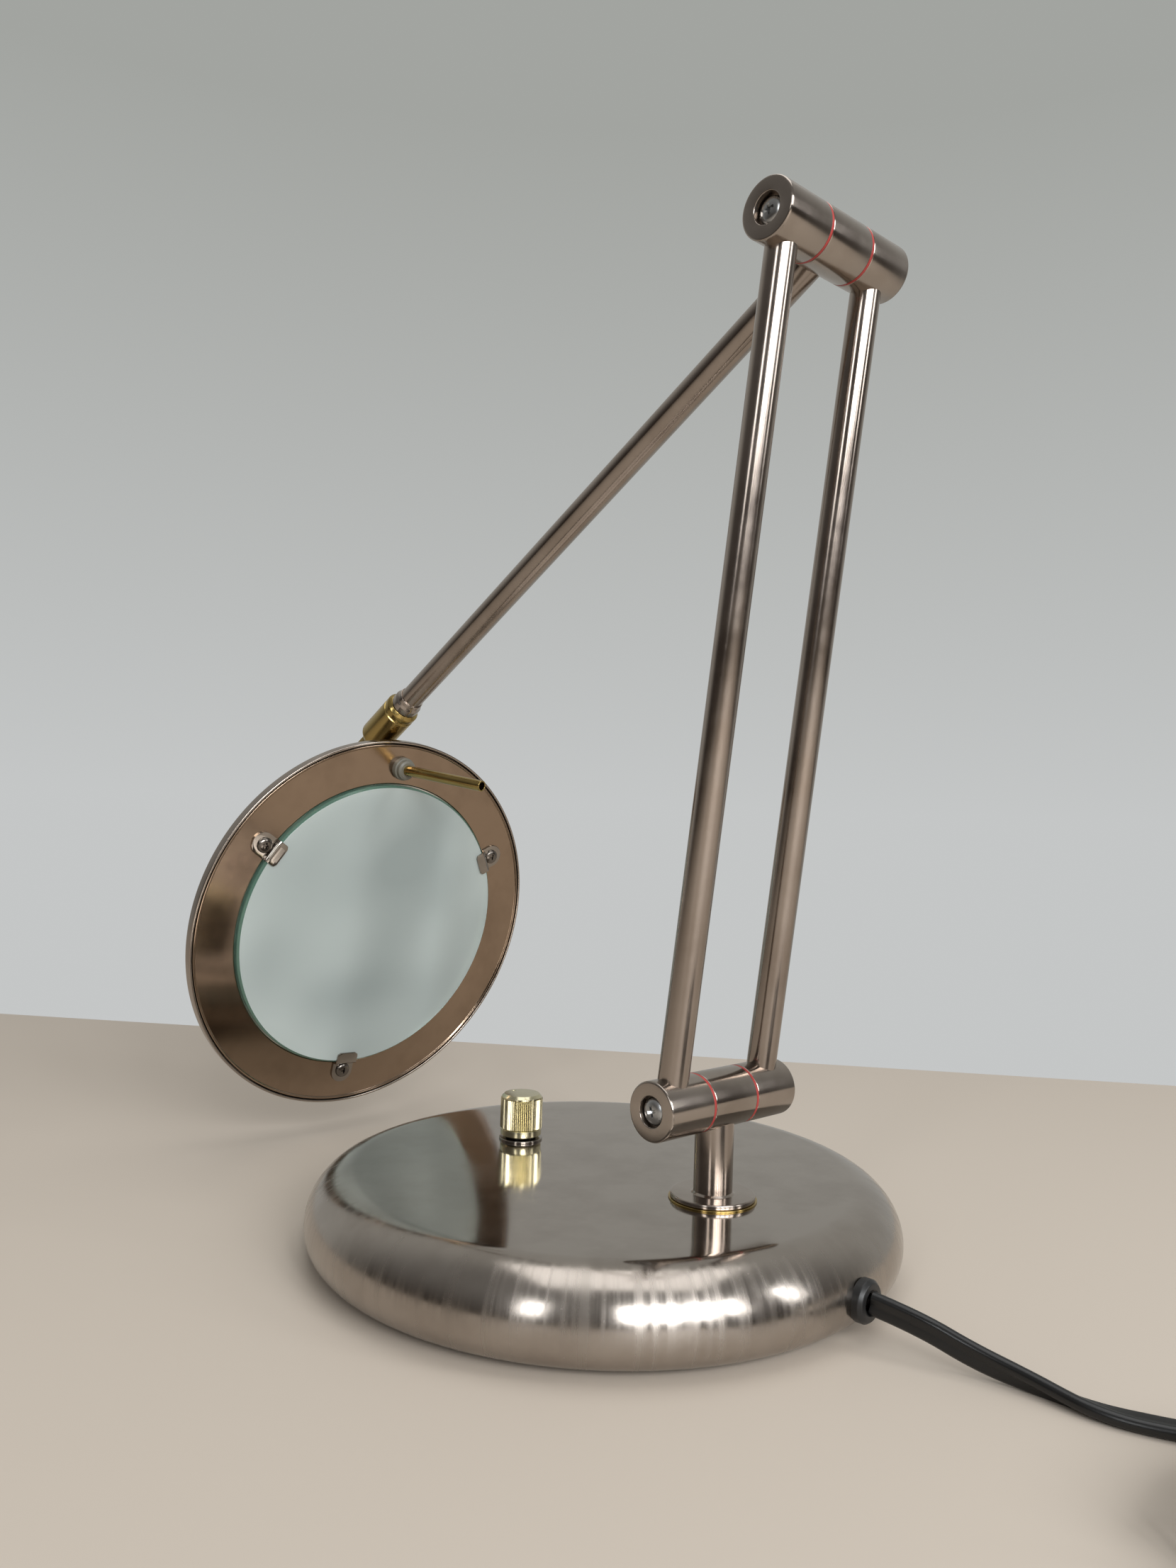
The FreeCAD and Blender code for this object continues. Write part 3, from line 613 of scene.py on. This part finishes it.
def knurlTree(facts, material):
    tree = bpy.data.node_groups.new("knurl", "GeometryNodeTree")
    sockets = {}
    length = (facts["knurlTo"] - facts["knurlFrom"]) * mm
    height = (facts["knurlTo"] + facts["knurlFrom"]) / 2 * mm
    for name, kind, value in (("Geometry", "NodeSocketGeometry", None),
                              ("Flutes", "NodeSocketInt", facts["flutes"]),
                              ("Radius", "NodeSocketFloat", facts["radius"] * mm),
                              ("Ridge", "NodeSocketFloat", facts["ridge"] * mm),
                              ("Length", "NodeSocketFloat", length),
                              ("Height", "NodeSocketFloat", height)):
        made = tree.interface.new_socket(name, in_out="INPUT", socket_type=kind)
        if value is not None:
            made.default_value = value
        sockets[name] = made.identifier
    tree.interface.new_socket("Geometry", in_out="OUTPUT", socket_type="NodeSocketGeometry")
    inputs = addNode(tree, "NodeGroupInput")
    outputs = addNode(tree, "NodeGroupOutput")
    circle = addNode(tree, "GeometryNodeMeshCircle", Vertices=inputs.outputs["Flutes"],
                     Radius=inputs.outputs["Radius"])
    ridge = addNode(tree, "GeometryNodeMeshCone", Vertices=4, _3=inputs.outputs["Ridge"],
                    _4=inputs.outputs["Ridge"], Depth=inputs.outputs["Length"])
    middle = addNode(tree, "GeometryNodeTransform", Geometry=ridge.outputs["Mesh"])
    drop = addNode(tree, "ShaderNodeMath", {"operation": "MULTIPLY"}, _0=inputs.outputs["Length"], _1=-0.5)
    shift = addNode(tree, "ShaderNodeCombineXYZ", Z=drop.outputs["Value"])
    tree.links.new(shift.outputs["Vector"], middle.inputs["Translation"])
    position = addNode(tree, "GeometryNodeInputPosition")
    facing = addNode(tree, "FunctionNodeAlignEulerToVector", {"axis": "X"},
                     Vector=position.outputs["Position"])
    spread = addNode(tree, "GeometryNodeInstanceOnPoints", Points=circle.outputs["Mesh"],
                     Instance=middle.outputs["Geometry"], Rotation=facing.outputs["Rotation"])
    lift = addNode(tree, "ShaderNodeCombineXYZ", Z=inputs.outputs["Height"])
    raised = addNode(tree, "GeometryNodeTransform", Geometry=spread.outputs["Instances"],
                     Translation=lift.outputs["Vector"])
    both = addNode(tree, "GeometryNodeJoinGeometry")
    tree.links.new(inputs.outputs["Geometry"], both.inputs["Geometry"])
    tree.links.new(raised.outputs["Geometry"], both.inputs["Geometry"])
    real = addNode(tree, "GeometryNodeRealizeInstances", Geometry=both.outputs["Geometry"])
    painted = addNode(tree, "GeometryNodeSetMaterial", Geometry=real.outputs["Geometry"], Material=material)
    tree.links.new(painted.outputs["Geometry"], outputs.inputs["Geometry"])
    return tree, sockets


knobPlace = Matrix.Translation(Vector(joints["dimmer_turn"]["pos_m"]) * Vector((1, 1, 0)))
r, foot, top = knob["radius"], knob["foot"], knob["top"]
knobLine = rounded([(5.8, foot), (r - 0.5, foot, 0.15), (r + 0.2, foot + 0.6, 0.1),
                    (r + 0.2, knob["knurlFrom"] - 0.5, 0.1), (r - 0.35, knob["knurlFrom"] - 0.1),
                    (r - 0.05, knob["knurlFrom"] + 0.3), (r - 0.05, knob["knurlTo"]),
                    (r + 0.1, knob["knurlTo"] + 0.1, 0.1), (r + 0.1, top - 1.0, 0.12), (r - 0.9, top, 0.15),
                    (0, top)])
knobPiece = meshObject("dimmerKnob", lathe(knobLine, 128))
dimple = bpy.data.meshes.new("dimple")
ball = bmesh.new()
bmesh.ops.create_icosphere(ball, subdivisions=3, radius=1.1 * mm)
ball.to_mesh(dimple)
ball.free()
dimple.transform(Matrix.Translation(point((0, -4.6, top + 0.75))))
carve(knobPiece, dimple)
knurl = knobPiece.modifiers.new("knurl", "NODES")
knurl.node_group, knurlSockets = knurlTree(knob, paint["knobBrass"])
knurl[knurlSockets["Flutes"]] = knob["flutes"]
knurl[knurlSockets["Ridge"]] = knob["ridge"] * mm
applied(knobPiece)
knobPiece.data.transform(knobPlace)
finishPiece(knobPiece, "knob", paint["knobBrass"], ("dimmer_knob",))
knobRing = rounded([(4.2, base["top"]), (8.2, base["top"], 0.1), (8.2, base["top"] + 0.8, 0.25),
                    (4.2, base["top"] + 0.8)])
finishPiece(meshObject("knobRing", lathe(knobRing, 96), knobPlace), "base", paint["steel"],
            ("knob_washer",))
print("knob made")


# post
post = {"radius": 6.45, "flange": 14.0, "washer": 14.6, "foot": 30.2, "top": 57.9}
shaft = [(0, 17), (5, 17), (5, post["foot"]), (post["radius"], post["foot"]), (post["radius"], post["top"]),
         (0, post["top"])]
finishPiece(meshObject("postShaft", lathe(shaft, 96), postPlace), "post_head",
            paint["rodNickel"], ("post",))
flange = rounded([(post["radius"], post["foot"]), (post["flange"], post["foot"], 0.2),
                  (post["flange"], post["foot"] + 1.5, 0.6), (post["radius"] + 0.8, post["foot"] + 1.5, 0.3),
                  (post["radius"], post["foot"] + 2.1)])
finishPiece(meshObject("postFlange", lathe(flange, 128), postPlace), "post_head",
            paint["nickel"], ("post_flange",))
washer = rounded([(5.2, base["top"]), (post["washer"], base["top"], 0.1),
                  (post["washer"], base["top"] + 0.5, 0.2),
                  (5.2, base["top"] + 0.5)])
finishPiece(meshObject("postWasher", lathe(washer, 128), postPlace), "base", paint["brass"],
            ("post_washer",))


# hinges
hinge = {"radius": 9.55, "half": 30.6, "middle": 10.0, "gap": 0.1, "red": 0.9, "bolt": 2.5, "recess": 4.9}


def barrelLine(start, end, bore, recess):
    r = hinge["radius"]
    line = [(bore, start), (r, start, 0.35), (r, end, 0.8)]
    if recess:
        line += [(hinge["recess"], end, 0.3), (hinge["recess"], end - recess), (bore, end - recess)]
    else:
        line[2] = (r, end, 0.35)
        line += [(bore, end)]
    return rounded(line)


def nutMesh(across, height, bore):
    outline = arc((0, 0), across / math.sqrt(3), 0, 300, 5)
    mesh = plateMesh(outline, height, 0.25)
    return mesh


def makeHinge(prefix, place, outerBody, middleBody, recess):
    name = prefix.replace("_hinge", "Hinge")
    inner = hinge["middle"] + hinge["gap"] + hinge["red"]
    bolt = panScrew(4.4, 2.4, hinge["bolt"], 40)
    for side, turn in (("near", 0), ("far", 180)):
        sidePlace = place @ turnedBy(turn, "Z") @ alongX
        barrel = meshObject(name + side.title() + "Barrel",
                            lathe(barrelLine(inner, hinge["half"], 2.6, recess), 96), sidePlace)
        finishPiece(barrel, outerBody, paint["nickel"], (f"{prefix}_{side}_barrel",))
        low = hinge["middle"] + hinge["gap"]
        high = low + hinge["red"]
        red = rounded([(2.6, low), (9.5, low, 0.12), (9.5, high, 0.12), (2.6, high)])
        redPiece = meshObject(name + side.title() + "RedWasher", lathe(red, 96), sidePlace)
        finishPiece(redPiece, outerBody, paint["red"], (f"{prefix}_red_washer_{side}",))
    middle = lathe(barrelLine(-hinge["middle"], hinge["middle"], 2.6, 0), 96)
    finishPiece(meshObject(name + "MiddleBarrel", middle, place @ alongX), middleBody,
                paint["nickel"], (f"{prefix}_middle_barrel",))
    seat = Matrix.Translation(point((0, 0, hinge["half"] - recess)))
    placedScrew(name + "Bolt", bolt, place @ alongX @ seat @ turnedBy(18, "Z"), outerBody, paint["zinc"],
                (f"{prefix}_bolt",))
    nut = nutMesh(8, 2.2, hinge["bolt"])
    placedScrew(name + "Nut", nut, place @ turnedBy(180, "Z") @ alongX @ seat, outerBody, paint["zinc"],
                (f"{prefix}_bolt_nut",))


makeHinge("lower_hinge", Matrix.Translation(hingeLow) @ armTurn, "lower_arm", "post_head", 2.6)
makeHinge("upper_hinge", lowerPlace @ Matrix.Translation((0, 0, (hingeHigh - hingeLow).length)),
          "lower_arm", "upper_arm", 3.3)
print("hinges made")


# arms
arms = {"radius": 5.0, "spacing": 22.0, "seat": 4.5, "tubeEnd": 260.0}
lowerLength = (hingeHigh - hingeLow).length / mm
for side, x in (("near", arms["spacing"]), ("far", -arms["spacing"])):
    line = [(0, arms["seat"]), (arms["radius"], arms["seat"]), (arms["radius"], lowerLength - arms["seat"]),
            (0, lowerLength - arms["seat"])]
    place = lowerPlace @ Matrix.Translation(point((x, 0, 0)))
    finishPiece(meshObject("lowerRod" + side.title(), lathe(line, 96), place), "lower_arm",
                paint["rodNickel"], (f"lower_rod_{side}",))
tubeLine = [(0, arms["seat"]), (arms["radius"], arms["seat"]), (arms["radius"], arms["tubeEnd"]),
            (0, arms["tubeEnd"])]
finishPiece(meshObject("upperTube", lathe(tubeLine, 96), upperPlace), "upper_arm",
            paint["rodNickel"], ("upper_tube",))
cup = rounded([(5.0, 256.6), (5.5, 256.4, 0.2), (5.7, 258.4, 0.8), (6.35, 259.6, 0.5), (6.35, 262.6, 0.3),
               (5.6, 263.0), (3.1, 263.0)])
finishPiece(meshObject("upperCollar", lathe(cup, 96), upperPlace), "upper_arm",
            paint["nickel"], ("upper_collar",))


# swivel: brass barrel, tang and eye
swivel = {"radius": 7.65, "start": 263.1, "end": 292.0, "pivot": 310.0, "eye": 5.5, "tang": 5.0, "half": 4.2}
s, r = swivel["start"], swivel["radius"]
barrelShape = rounded([(3.1, s), (6.3, s, 0.2), (r, s + 1.4, 0.9), (r, s + 3.7, 0.25), (7.05, s + 4.1, 0.2),
                       (7.05, s + 4.7, 0.2), (r, s + 5.1, 0.25), (r, swivel["end"] - 3.6, 2.5),
                       (5.4, swivel["end"] - 0.4, 0.8), (4.4, swivel["end"]), (0, swivel["end"])])
barrelMesh = lathe(barrelShape, 96)
reach = swivel["pivot"] - swivel["end"] + 3
outline = [(swivel["end"] - 3, -swivel["half"]), (swivel["pivot"] - 5.5, -swivel["half"])]
outline += arc((swivel["pivot"], 0), swivel["eye"], -130, 130, 24)
outline += [(swivel["pivot"] - 5.5, swivel["half"]), (swivel["end"] - 3, swivel["half"])]
tang = plateMesh(outline, swivel["tang"], 0.4)
tang.transform(Matrix.Translation(point((0, 0, -swivel["tang"] / 2))))
tang.transform(Matrix(((0, 0, 1, 0), (0, 1, 0, 0), (1, 0, 0, 0), (0, 0, 0, 1))))
tang.flip_normals()
swivelPiece = meshObject("swivelBarrel", joined([barrelMesh, tang], "swivelBarrel"), upperPlace)
finishPiece(swivelPiece, "swivel", paint["brass"], ("swivel_barrel",))
tiltScrewPlace = Matrix.Translation(knuckle) @ armTurn @ alongX @ Matrix.Translation(point((0, 0, 5.4)))
placedScrew("tiltScrew", panScrew(3.6, 2.0, 2.0, 10.8), tiltScrewPlace, "head", paint["steel"],
            ("tilt_screw",))
print("arms made")


# head
head = {"rim": 86.5, "rimIn": 85.4, "opening": 66.6, "glass": 66.2, "ringOut": 84.5, "ringFront": -0.8,
        "glassFront": 1.6, "glassThick": 3.6, "clips": (60, -60, 180), "clipRadius": 70.6}


def smoothLine(points, steps=6):
    out = []
    spread = [points[0]] + list(points) + [points[-1]]
    for a, b, c, d in zip(spread, spread[1:], spread[2:], spread[3:]):
        for n in range(steps):
            t = n / steps
            out.append(tuple(0.5 * (2 * b[k] + (c[k] - a[k]) * t
                                    + (2 * a[k] - 5 * b[k] + 4 * c[k] - d[k]) * t * t
                                    + (3 * b[k] - a[k] - 3 * c[k] + d[k]) * t ** 3) for k in (0, 1)))
    return out + [points[-1]]


outside = smoothLine([(0, -26.5), (30, -26.5), (48, -26.3), (60, -24), (70, -19.6), (78, -13.6), (83.6, -8.2),
                      (86.2, -4.6), (86.5, -3.0)])
inside = smoothLine([(85.3, -4.0), (82.6, -7.6), (77.2, -12.6), (69.2, -18.5), (59.4, -22.9), (47.8, -25.2),
                     (0, -25.3)])
rim = rounded([(head["rim"], -3.0), (head["rim"], 0.05, 0.5), (head["rimIn"], 0.05, 0.5),
               (head["rimIn"], -4.0)])
dishPiece = meshObject("dishShell", lathe(outside[:-1] + rim + inside, 256), headPlace, 50)
finishPiece(dishPiece, "head", paint["nickel"], ("dish_shell",))
ringLine = rounded([(head["opening"], -2.0), (head["ringOut"], -2.0, 0.2), (head["ringOut"] + 0.5, -0.3, 0.3),
                    (head["ringOut"] - 0.2, -0.2, 0.2), (head["ringOut"] - 0.7, head["ringFront"], 0.3),
                    (head["opening"] + 0.5, head["ringFront"], 0.1),
                    (head["opening"], head["ringFront"] - 0.3), (head["opening"], -2.0)])
finishPiece(meshObject("trimRing", lathe(ringLine, 256), headPlace), "head",
            paint["nickelRing"], ("trim_ring",))
g, front = head["glass"], head["glassFront"]
back = front - head["glassThick"]
pane = rounded([(0, front), (g - 0.9, front, 0.3), (g, front - 0.9, 0.3), (g, back, 0.5), (0, back)])
finishPiece(meshObject("glassPane", lathe(pane, 192), headPlace), "head", paint["glass"],
            ("glass",))

clip = {"half": 5.25, "outer": 76.5, "thick": 0.8, "tip": 1.4,
        "line": ((70.6, 0), (68.6, 0), (67.6, 0.02), (67.1, 0.1), (66.8, 0.4), (66.6, 0.95), (66.45, 1.5),
                 (66.25, 2.05), (65.9, 2.34), (65.4, 2.4), (64.2, 2.4), (63.2, 2.4), (62.3, 2.4),
                 (61.5, 2.4))}


def clipMesh(facts):
    shape = bmesh.new()
    rows = []
    stops = [(facts["outer"] - facts["half"] * (1 - math.cos(math.radians(a))), 0) for a in range(0, 91, 10)]
    inner = facts["line"][-1][0]
    for r, rise in stops + list(facts["line"]):
        fromEnd = facts["outer"] - r
        half = facts["half"]
        if fromEnd < half:
            half = math.sqrt(max(half * half - (half - fromEnd) ** 2, 0.04))
        toTip = r - inner
        if toTip < facts["tip"]:
            half -= facts["tip"] - math.sqrt(max(facts["tip"] ** 2 - (facts["tip"] - toTip) ** 2, 0))
        rows.append([shape.verts.new(point((half * w, -r, rise))) for w in (-1, -0.6, -0.2, 0.2, 0.6, 1)])
    for low, high in zip(rows, rows[1:]):
        for k in range(5):
            shape.faces.new((low[k], low[k + 1], high[k + 1], high[k]))
    bmesh.ops.recalc_face_normals(shape, faces=shape.faces)
    mesh = bpy.data.meshes.new("clip")
    shape.to_mesh(mesh)
    shape.free()
    clipPiece = meshObject("clip", mesh)
    if mesh.polygons[0].normal.z < 0:
        mesh.flip_normals()
    solid = clipPiece.modifiers.new("thick", "SOLIDIFY")
    solid.thickness = facts["thick"] * mm
    solid.offset = 1
    edge = clipPiece.modifiers.new("edge", "BEVEL")
    edge.width = 0.12 * mm
    edge.segments = 2
    edge.angle_limit = math.radians(50)
    applied(clipPiece)
    made = clipPiece.data
    bpy.data.objects.remove(clipPiece)
    return made


clipShape = clipMesh(clip)
clipScrew = panScrew(3.4, 1.7, 1.4, 7)
for n, azimuth in enumerate(head["clips"], 1):
    onRing = Matrix.Translation(point((0, 0, head["ringFront"])))
    clipPlace = headPlace @ turnedBy(azimuth + ringTurn, "Z") @ onRing
    piece = meshObject(f"clip{n}", clipShape.copy(), clipPlace)
    finishPiece(piece, "head", paint["steel"], (f"clip_{n}",))
    screwSeat = aroundHead(head["clipRadius"], azimuth, head["ringFront"] + clip["thick"])
    screwPlace = screwSeat @ turnedBy(31 * n, "Z")
    placedScrew(f"clipScrew{n}", clipScrew, screwPlace, "head", paint["darkSteel"], (f"clip_screw_{n}",))

handle = {"radius": 74.1, "bushTop": 4.0, "rod": 2.4, "length": 44.6, "bore": 1.8}
handlePlace = aroundHead(handle["radius"], 0, 0) @ turnedBy(-ringTurn, "Z")
bush = rounded([(0, -0.8), (5.2, -0.8), (5.2, 1.5, 0.5), (4.5, 1.7, 0.2), (4.5, 3.4, 0.5), (3.5, 4.0, 0.3),
                (0, 4.0)])
finishPiece(meshObject("handleBush", lathe(bush, 96), handlePlace), "head", paint["grey"],
            ("handle_bush",))
rodPlace = handlePlace @ Matrix.Translation(point((0, 0, 3.6))) @ turnedBy(-12.2, "Y") @ turnedBy(4.3, "X")
rodLine = rounded([(0, 0), (handle["rod"], 0), (handle["rod"], handle["length"], 0.25),
                   (handle["bore"], handle["length"], 0.2), (handle["bore"], handle["length"] - 9),
                   (0, handle["length"] - 9)])
finishPiece(meshObject("handleRod", lathe(rodLine, 64), rodPlace), "head", paint["brass"],
            ("handle_rod",))
print("head made")


# cord bushing, plug and tie
bushing = {"x": -1.5, "z": 12.9, "face": 106.9}
face = bushing["face"]
bushingLine = rounded([(2.6, face - 1), (3.9, face + 0.2, 0.4), (5.6, face, 0.8), (6.5, face - 1.2, 0.6),
                       (6.5, 103.2, 0.2), (5.2, 103.0), (5.2, 98), (2.6, 98)])
bushingPlace = Matrix.Translation(point((bushing["x"], 0, bushing["z"]))) @ turnedBy(-90, "X")
bushingPiece = meshObject("cordBushing", lathe(bushingLine, 64), bushingPlace)
finishPiece(bushingPiece, "base", paint["black"], ("cord_bushing",))

plug = {"back": cord["tail"][-1], "before": cord["tail"][-2], "length": 27.0, "spacing": 6.35}
plugTurn = math.degrees(math.atan2(plug["back"][1] - plug["before"][1], plug["back"][0] - plug["before"][0]))
plugPlace = Matrix.Translation(point(plug["back"])) @ turnedBy(plugTurn, "Z")


def plugMesh(facts):
    shape = bmesh.new()
    rings = []
    sections = [(-1.5, 3.9, 2.4), (0, 4.4, 3.0), (3, 5.0, 3.4), (6, 6.2, 4.0), (8.5, 8.6, 5.0),
                (10, 9.4, 5.4)]
    for k in range(5):                                      # grip ridges
        x = 11 + 2.2 * k
        sections += [(x, 9.8 + 0.4 * k, 5.6), (x + 0.5, 10.3 + 0.4 * k, 6.0), (x + 1.1, 10.3 + 0.4 * k, 6.0),
                     (x + 1.6, 9.9 + 0.4 * k, 5.6)]
    sections += [(22.5, 12.2, 6.3), (26.2, 12.2, 6.4), (26.9, 11.9, 6.1), (27.0, 11.2, 5.6)]
    for x, half, high in sections:
        ring = []
        for n in range(40):
            a = 2 * math.pi * n / 40
            c, sn = math.cos(a), math.sin(a)
            ring.append(shape.verts.new(point((x, half * math.copysign(abs(c) ** 0.6, c),
                                               high * math.copysign(abs(sn) ** 0.6, sn)))))
        rings.append(ring)
    for low, high in zip(rings, rings[1:]):
        for n in range(40):
            shape.faces.new((low[n], low[(n + 1) % 40], high[(n + 1) % 40], high[n]))
    shape.faces.new(rings[0])
    shape.faces.new(rings[-1])
    bmesh.ops.recalc_face_normals(shape, faces=shape.faces)
    mesh = bpy.data.meshes.new("plug")
    shape.to_mesh(mesh)
    shape.free()
    return mesh


plugPiece = finishPiece(meshObject("plugBody", plugMesh(plug), plugPlace), "base",
                        paint["black"], ("plug_body",))
bladeMeshes = []
for side in (-1, 1):
    tip = [(43, -2.2), (43, 2.2), (41.6, 3.17), (24, 3.17), (24, -3.17), (41.6, -3.17)]
    blade = meshObject("blade", plateMesh(tip, 1.5, 0.15))
    hole = plateMesh(arc((39.0, 0), 1.6, 0, 345, 23), 6, 0)
    hole.transform(Matrix.Translation(point((0, 0, -2))))
    carve(blade, hole)
    blade.data.transform(Matrix.Translation(point((0, side * plug["spacing"], 0))) @ turnedBy(90, "X") @
                         Matrix.Translation(point((0, 0, -0.75))))
    bladeMeshes.append(blade.data)
    bpy.data.objects.remove(blade)
bladePiece = finishPiece(meshObject("plugBlades", joined(bladeMeshes, "plugBlades"), plugPlace), "base",
                         paint["plug"], ("plug_blades",))

tie = {"angle": 300, "wide": 5.0, "thick": 0.9}


def tieMesh(facts):
    loop = rounded([(31.4, 0.4), (31.4, 15.6, 2), (48.6, 15.6, 2), (48.6, 0.4)], 6)
    shape = bmesh.new()
    inner, outer = [], []
    for n, here in enumerate(loop):
        ahead = (loop[min(n + 1, len(loop) - 1)] - loop[max(n - 1, 0)]).normalized()
        away = Vector((-ahead.y, ahead.x)) * facts["thick"]
        for rows, shift in ((inner, Vector((0, 0))), (outer, away)):
            spot = here + shift
            rows.append([shape.verts.new(point((spot.x, w, max(spot.y, 0.3))))
                         for w in (-facts["wide"] / 2, facts["wide"] / 2)])
    for n in range(len(loop) - 1):
        shape.faces.new((inner[n][0], inner[n][1], inner[n + 1][1], inner[n + 1][0]))
        shape.faces.new((outer[n][0], outer[n + 1][0], outer[n + 1][1], outer[n][1]))
        for w in (0, 1):
            shape.faces.new((inner[n][w], inner[n + 1][w], outer[n + 1][w], outer[n][w]))
    for n in (0, -1):
        shape.faces.new((inner[n][0], inner[n][1], outer[n][1], outer[n][0]))
    bmesh.ops.recalc_face_normals(shape, faces=shape.faces)
    mesh = bpy.data.meshes.new("tie")
    shape.to_mesh(mesh)
    shape.free()
    return mesh


tiePlace = Matrix.Translation(point(cord["middle"] + (0,))) @ turnedBy(tie["angle"], "Z")
tiePiece = finishPiece(meshObject("cordTie", tieMesh(tie), tiePlace), "base", paint["black"])
print("cord fittings made")


# floor, lights and background
stage = {"floor": "#c3b8ab", "wallLow": "#c9cbcb", "wallHigh": "#a6a8a4", "wallGlow": "#b9b9b5",
         "roomDark": "#3a332e", "roomHigh": "#8d8c8a",
         "edge": ((-1314, 1283), (855, -1802), (4000, -1500), (4000, 4000), (-500, 4000))}
floorMaterial, _, floorShader = newMaterial("floor")
setInputs(floorShader, {"Base Color": srgb(stage["floor"]), "Roughness": 0.6})
floorPiece = meshObject("floor", plateMesh(list(stage["edge"]), 4, 0))
floorPiece.location.z = -4 * mm
floorPiece.data.materials.append(floorMaterial)


def areaLight(name, place, aim, size, power, tint="#ffffff"):
    light = bpy.data.lights.new(name, "AREA")
    light.shape = "RECTANGLE"
    light.size, light.size_y = size
    light.energy = power
    light.color = srgb(tint)[:3]
    lightObject = bpy.data.objects.new(name, light)
    scene.collection.objects.link(lightObject)
    lightObject.location = place
    lightObject.rotation_euler = (Vector(aim) - Vector(place)).to_track_quat("-Z", "Y").to_euler()
    return lightObject


for bearing, power in ((18, 4), (54, 9), (66, 11), (78, 9), (90, 5), (114, 4)):      # window panes
    turn = math.radians(bearing)
    areaLight(f"window{bearing}", (1.75 * math.cos(turn), 1.75 * math.sin(turn), 0.85), (0, 0, 0.12),
              (0.26, 0.75), power, "#fbfdff")
areaLight("overhead", (-0.1, 0.1, 1.7), (0, 0, 0), (1.3, 1.3), 9, "#ffffff")

world = bpy.data.worlds.new("world")
scene.world = world
world.use_nodes = True
tree = world.node_tree
background = tree.nodes["Background"]
place = addNode(tree, "ShaderNodeTexCoord")
axes = addNode(tree, "ShaderNodeSeparateXYZ", Vector=place.outputs["Generated"])
room = ramp(tree, axes.outputs["Z"], [(0.0, srgb(stage["roomDark"])), (0.7, srgb(stage["roomHigh"]))])
facing = addNode(tree, "ShaderNodeVectorMath", {"operation": "DOT_PRODUCT"}, _0=place.outputs["Generated"],
                 _1=Vector(view["forward"]))
wallward = addNode(tree, "ShaderNodeMapRange", {"interpolation_type": "SMOOTHSTEP"},
                   Value=facing.outputs["Value"])
setInputs(wallward, {"From Min": -0.1, "From Max": 0.6})
around = addNode(tree, "ShaderNodeMix", {"data_type": "RGBA"}, _0=wallward.outputs["Result"])
tree.links.new(room.outputs["Color"], around.inputs[6])
around.inputs[7].default_value = srgb(stage["wallGlow"])
wall = ramp(tree, axes.outputs["Z"], [(0.0, srgb(stage["wallLow"])), (0.5, srgb(stage["wallHigh"]))])
seen = addNode(tree, "ShaderNodeLightPath")
mixed = addNode(tree, "ShaderNodeMix", {"data_type": "RGBA"}, _0=seen.outputs["Is Camera Ray"])
tree.links.new(around.outputs[2], mixed.inputs[6])
tree.links.new(wall.outputs["Color"], mixed.inputs[7])
tree.links.new(mixed.outputs[2], background.inputs["Color"])
background.inputs["Strength"].default_value = 0.95
scene.view_settings.view_transform = "Standard"
print("stage made")
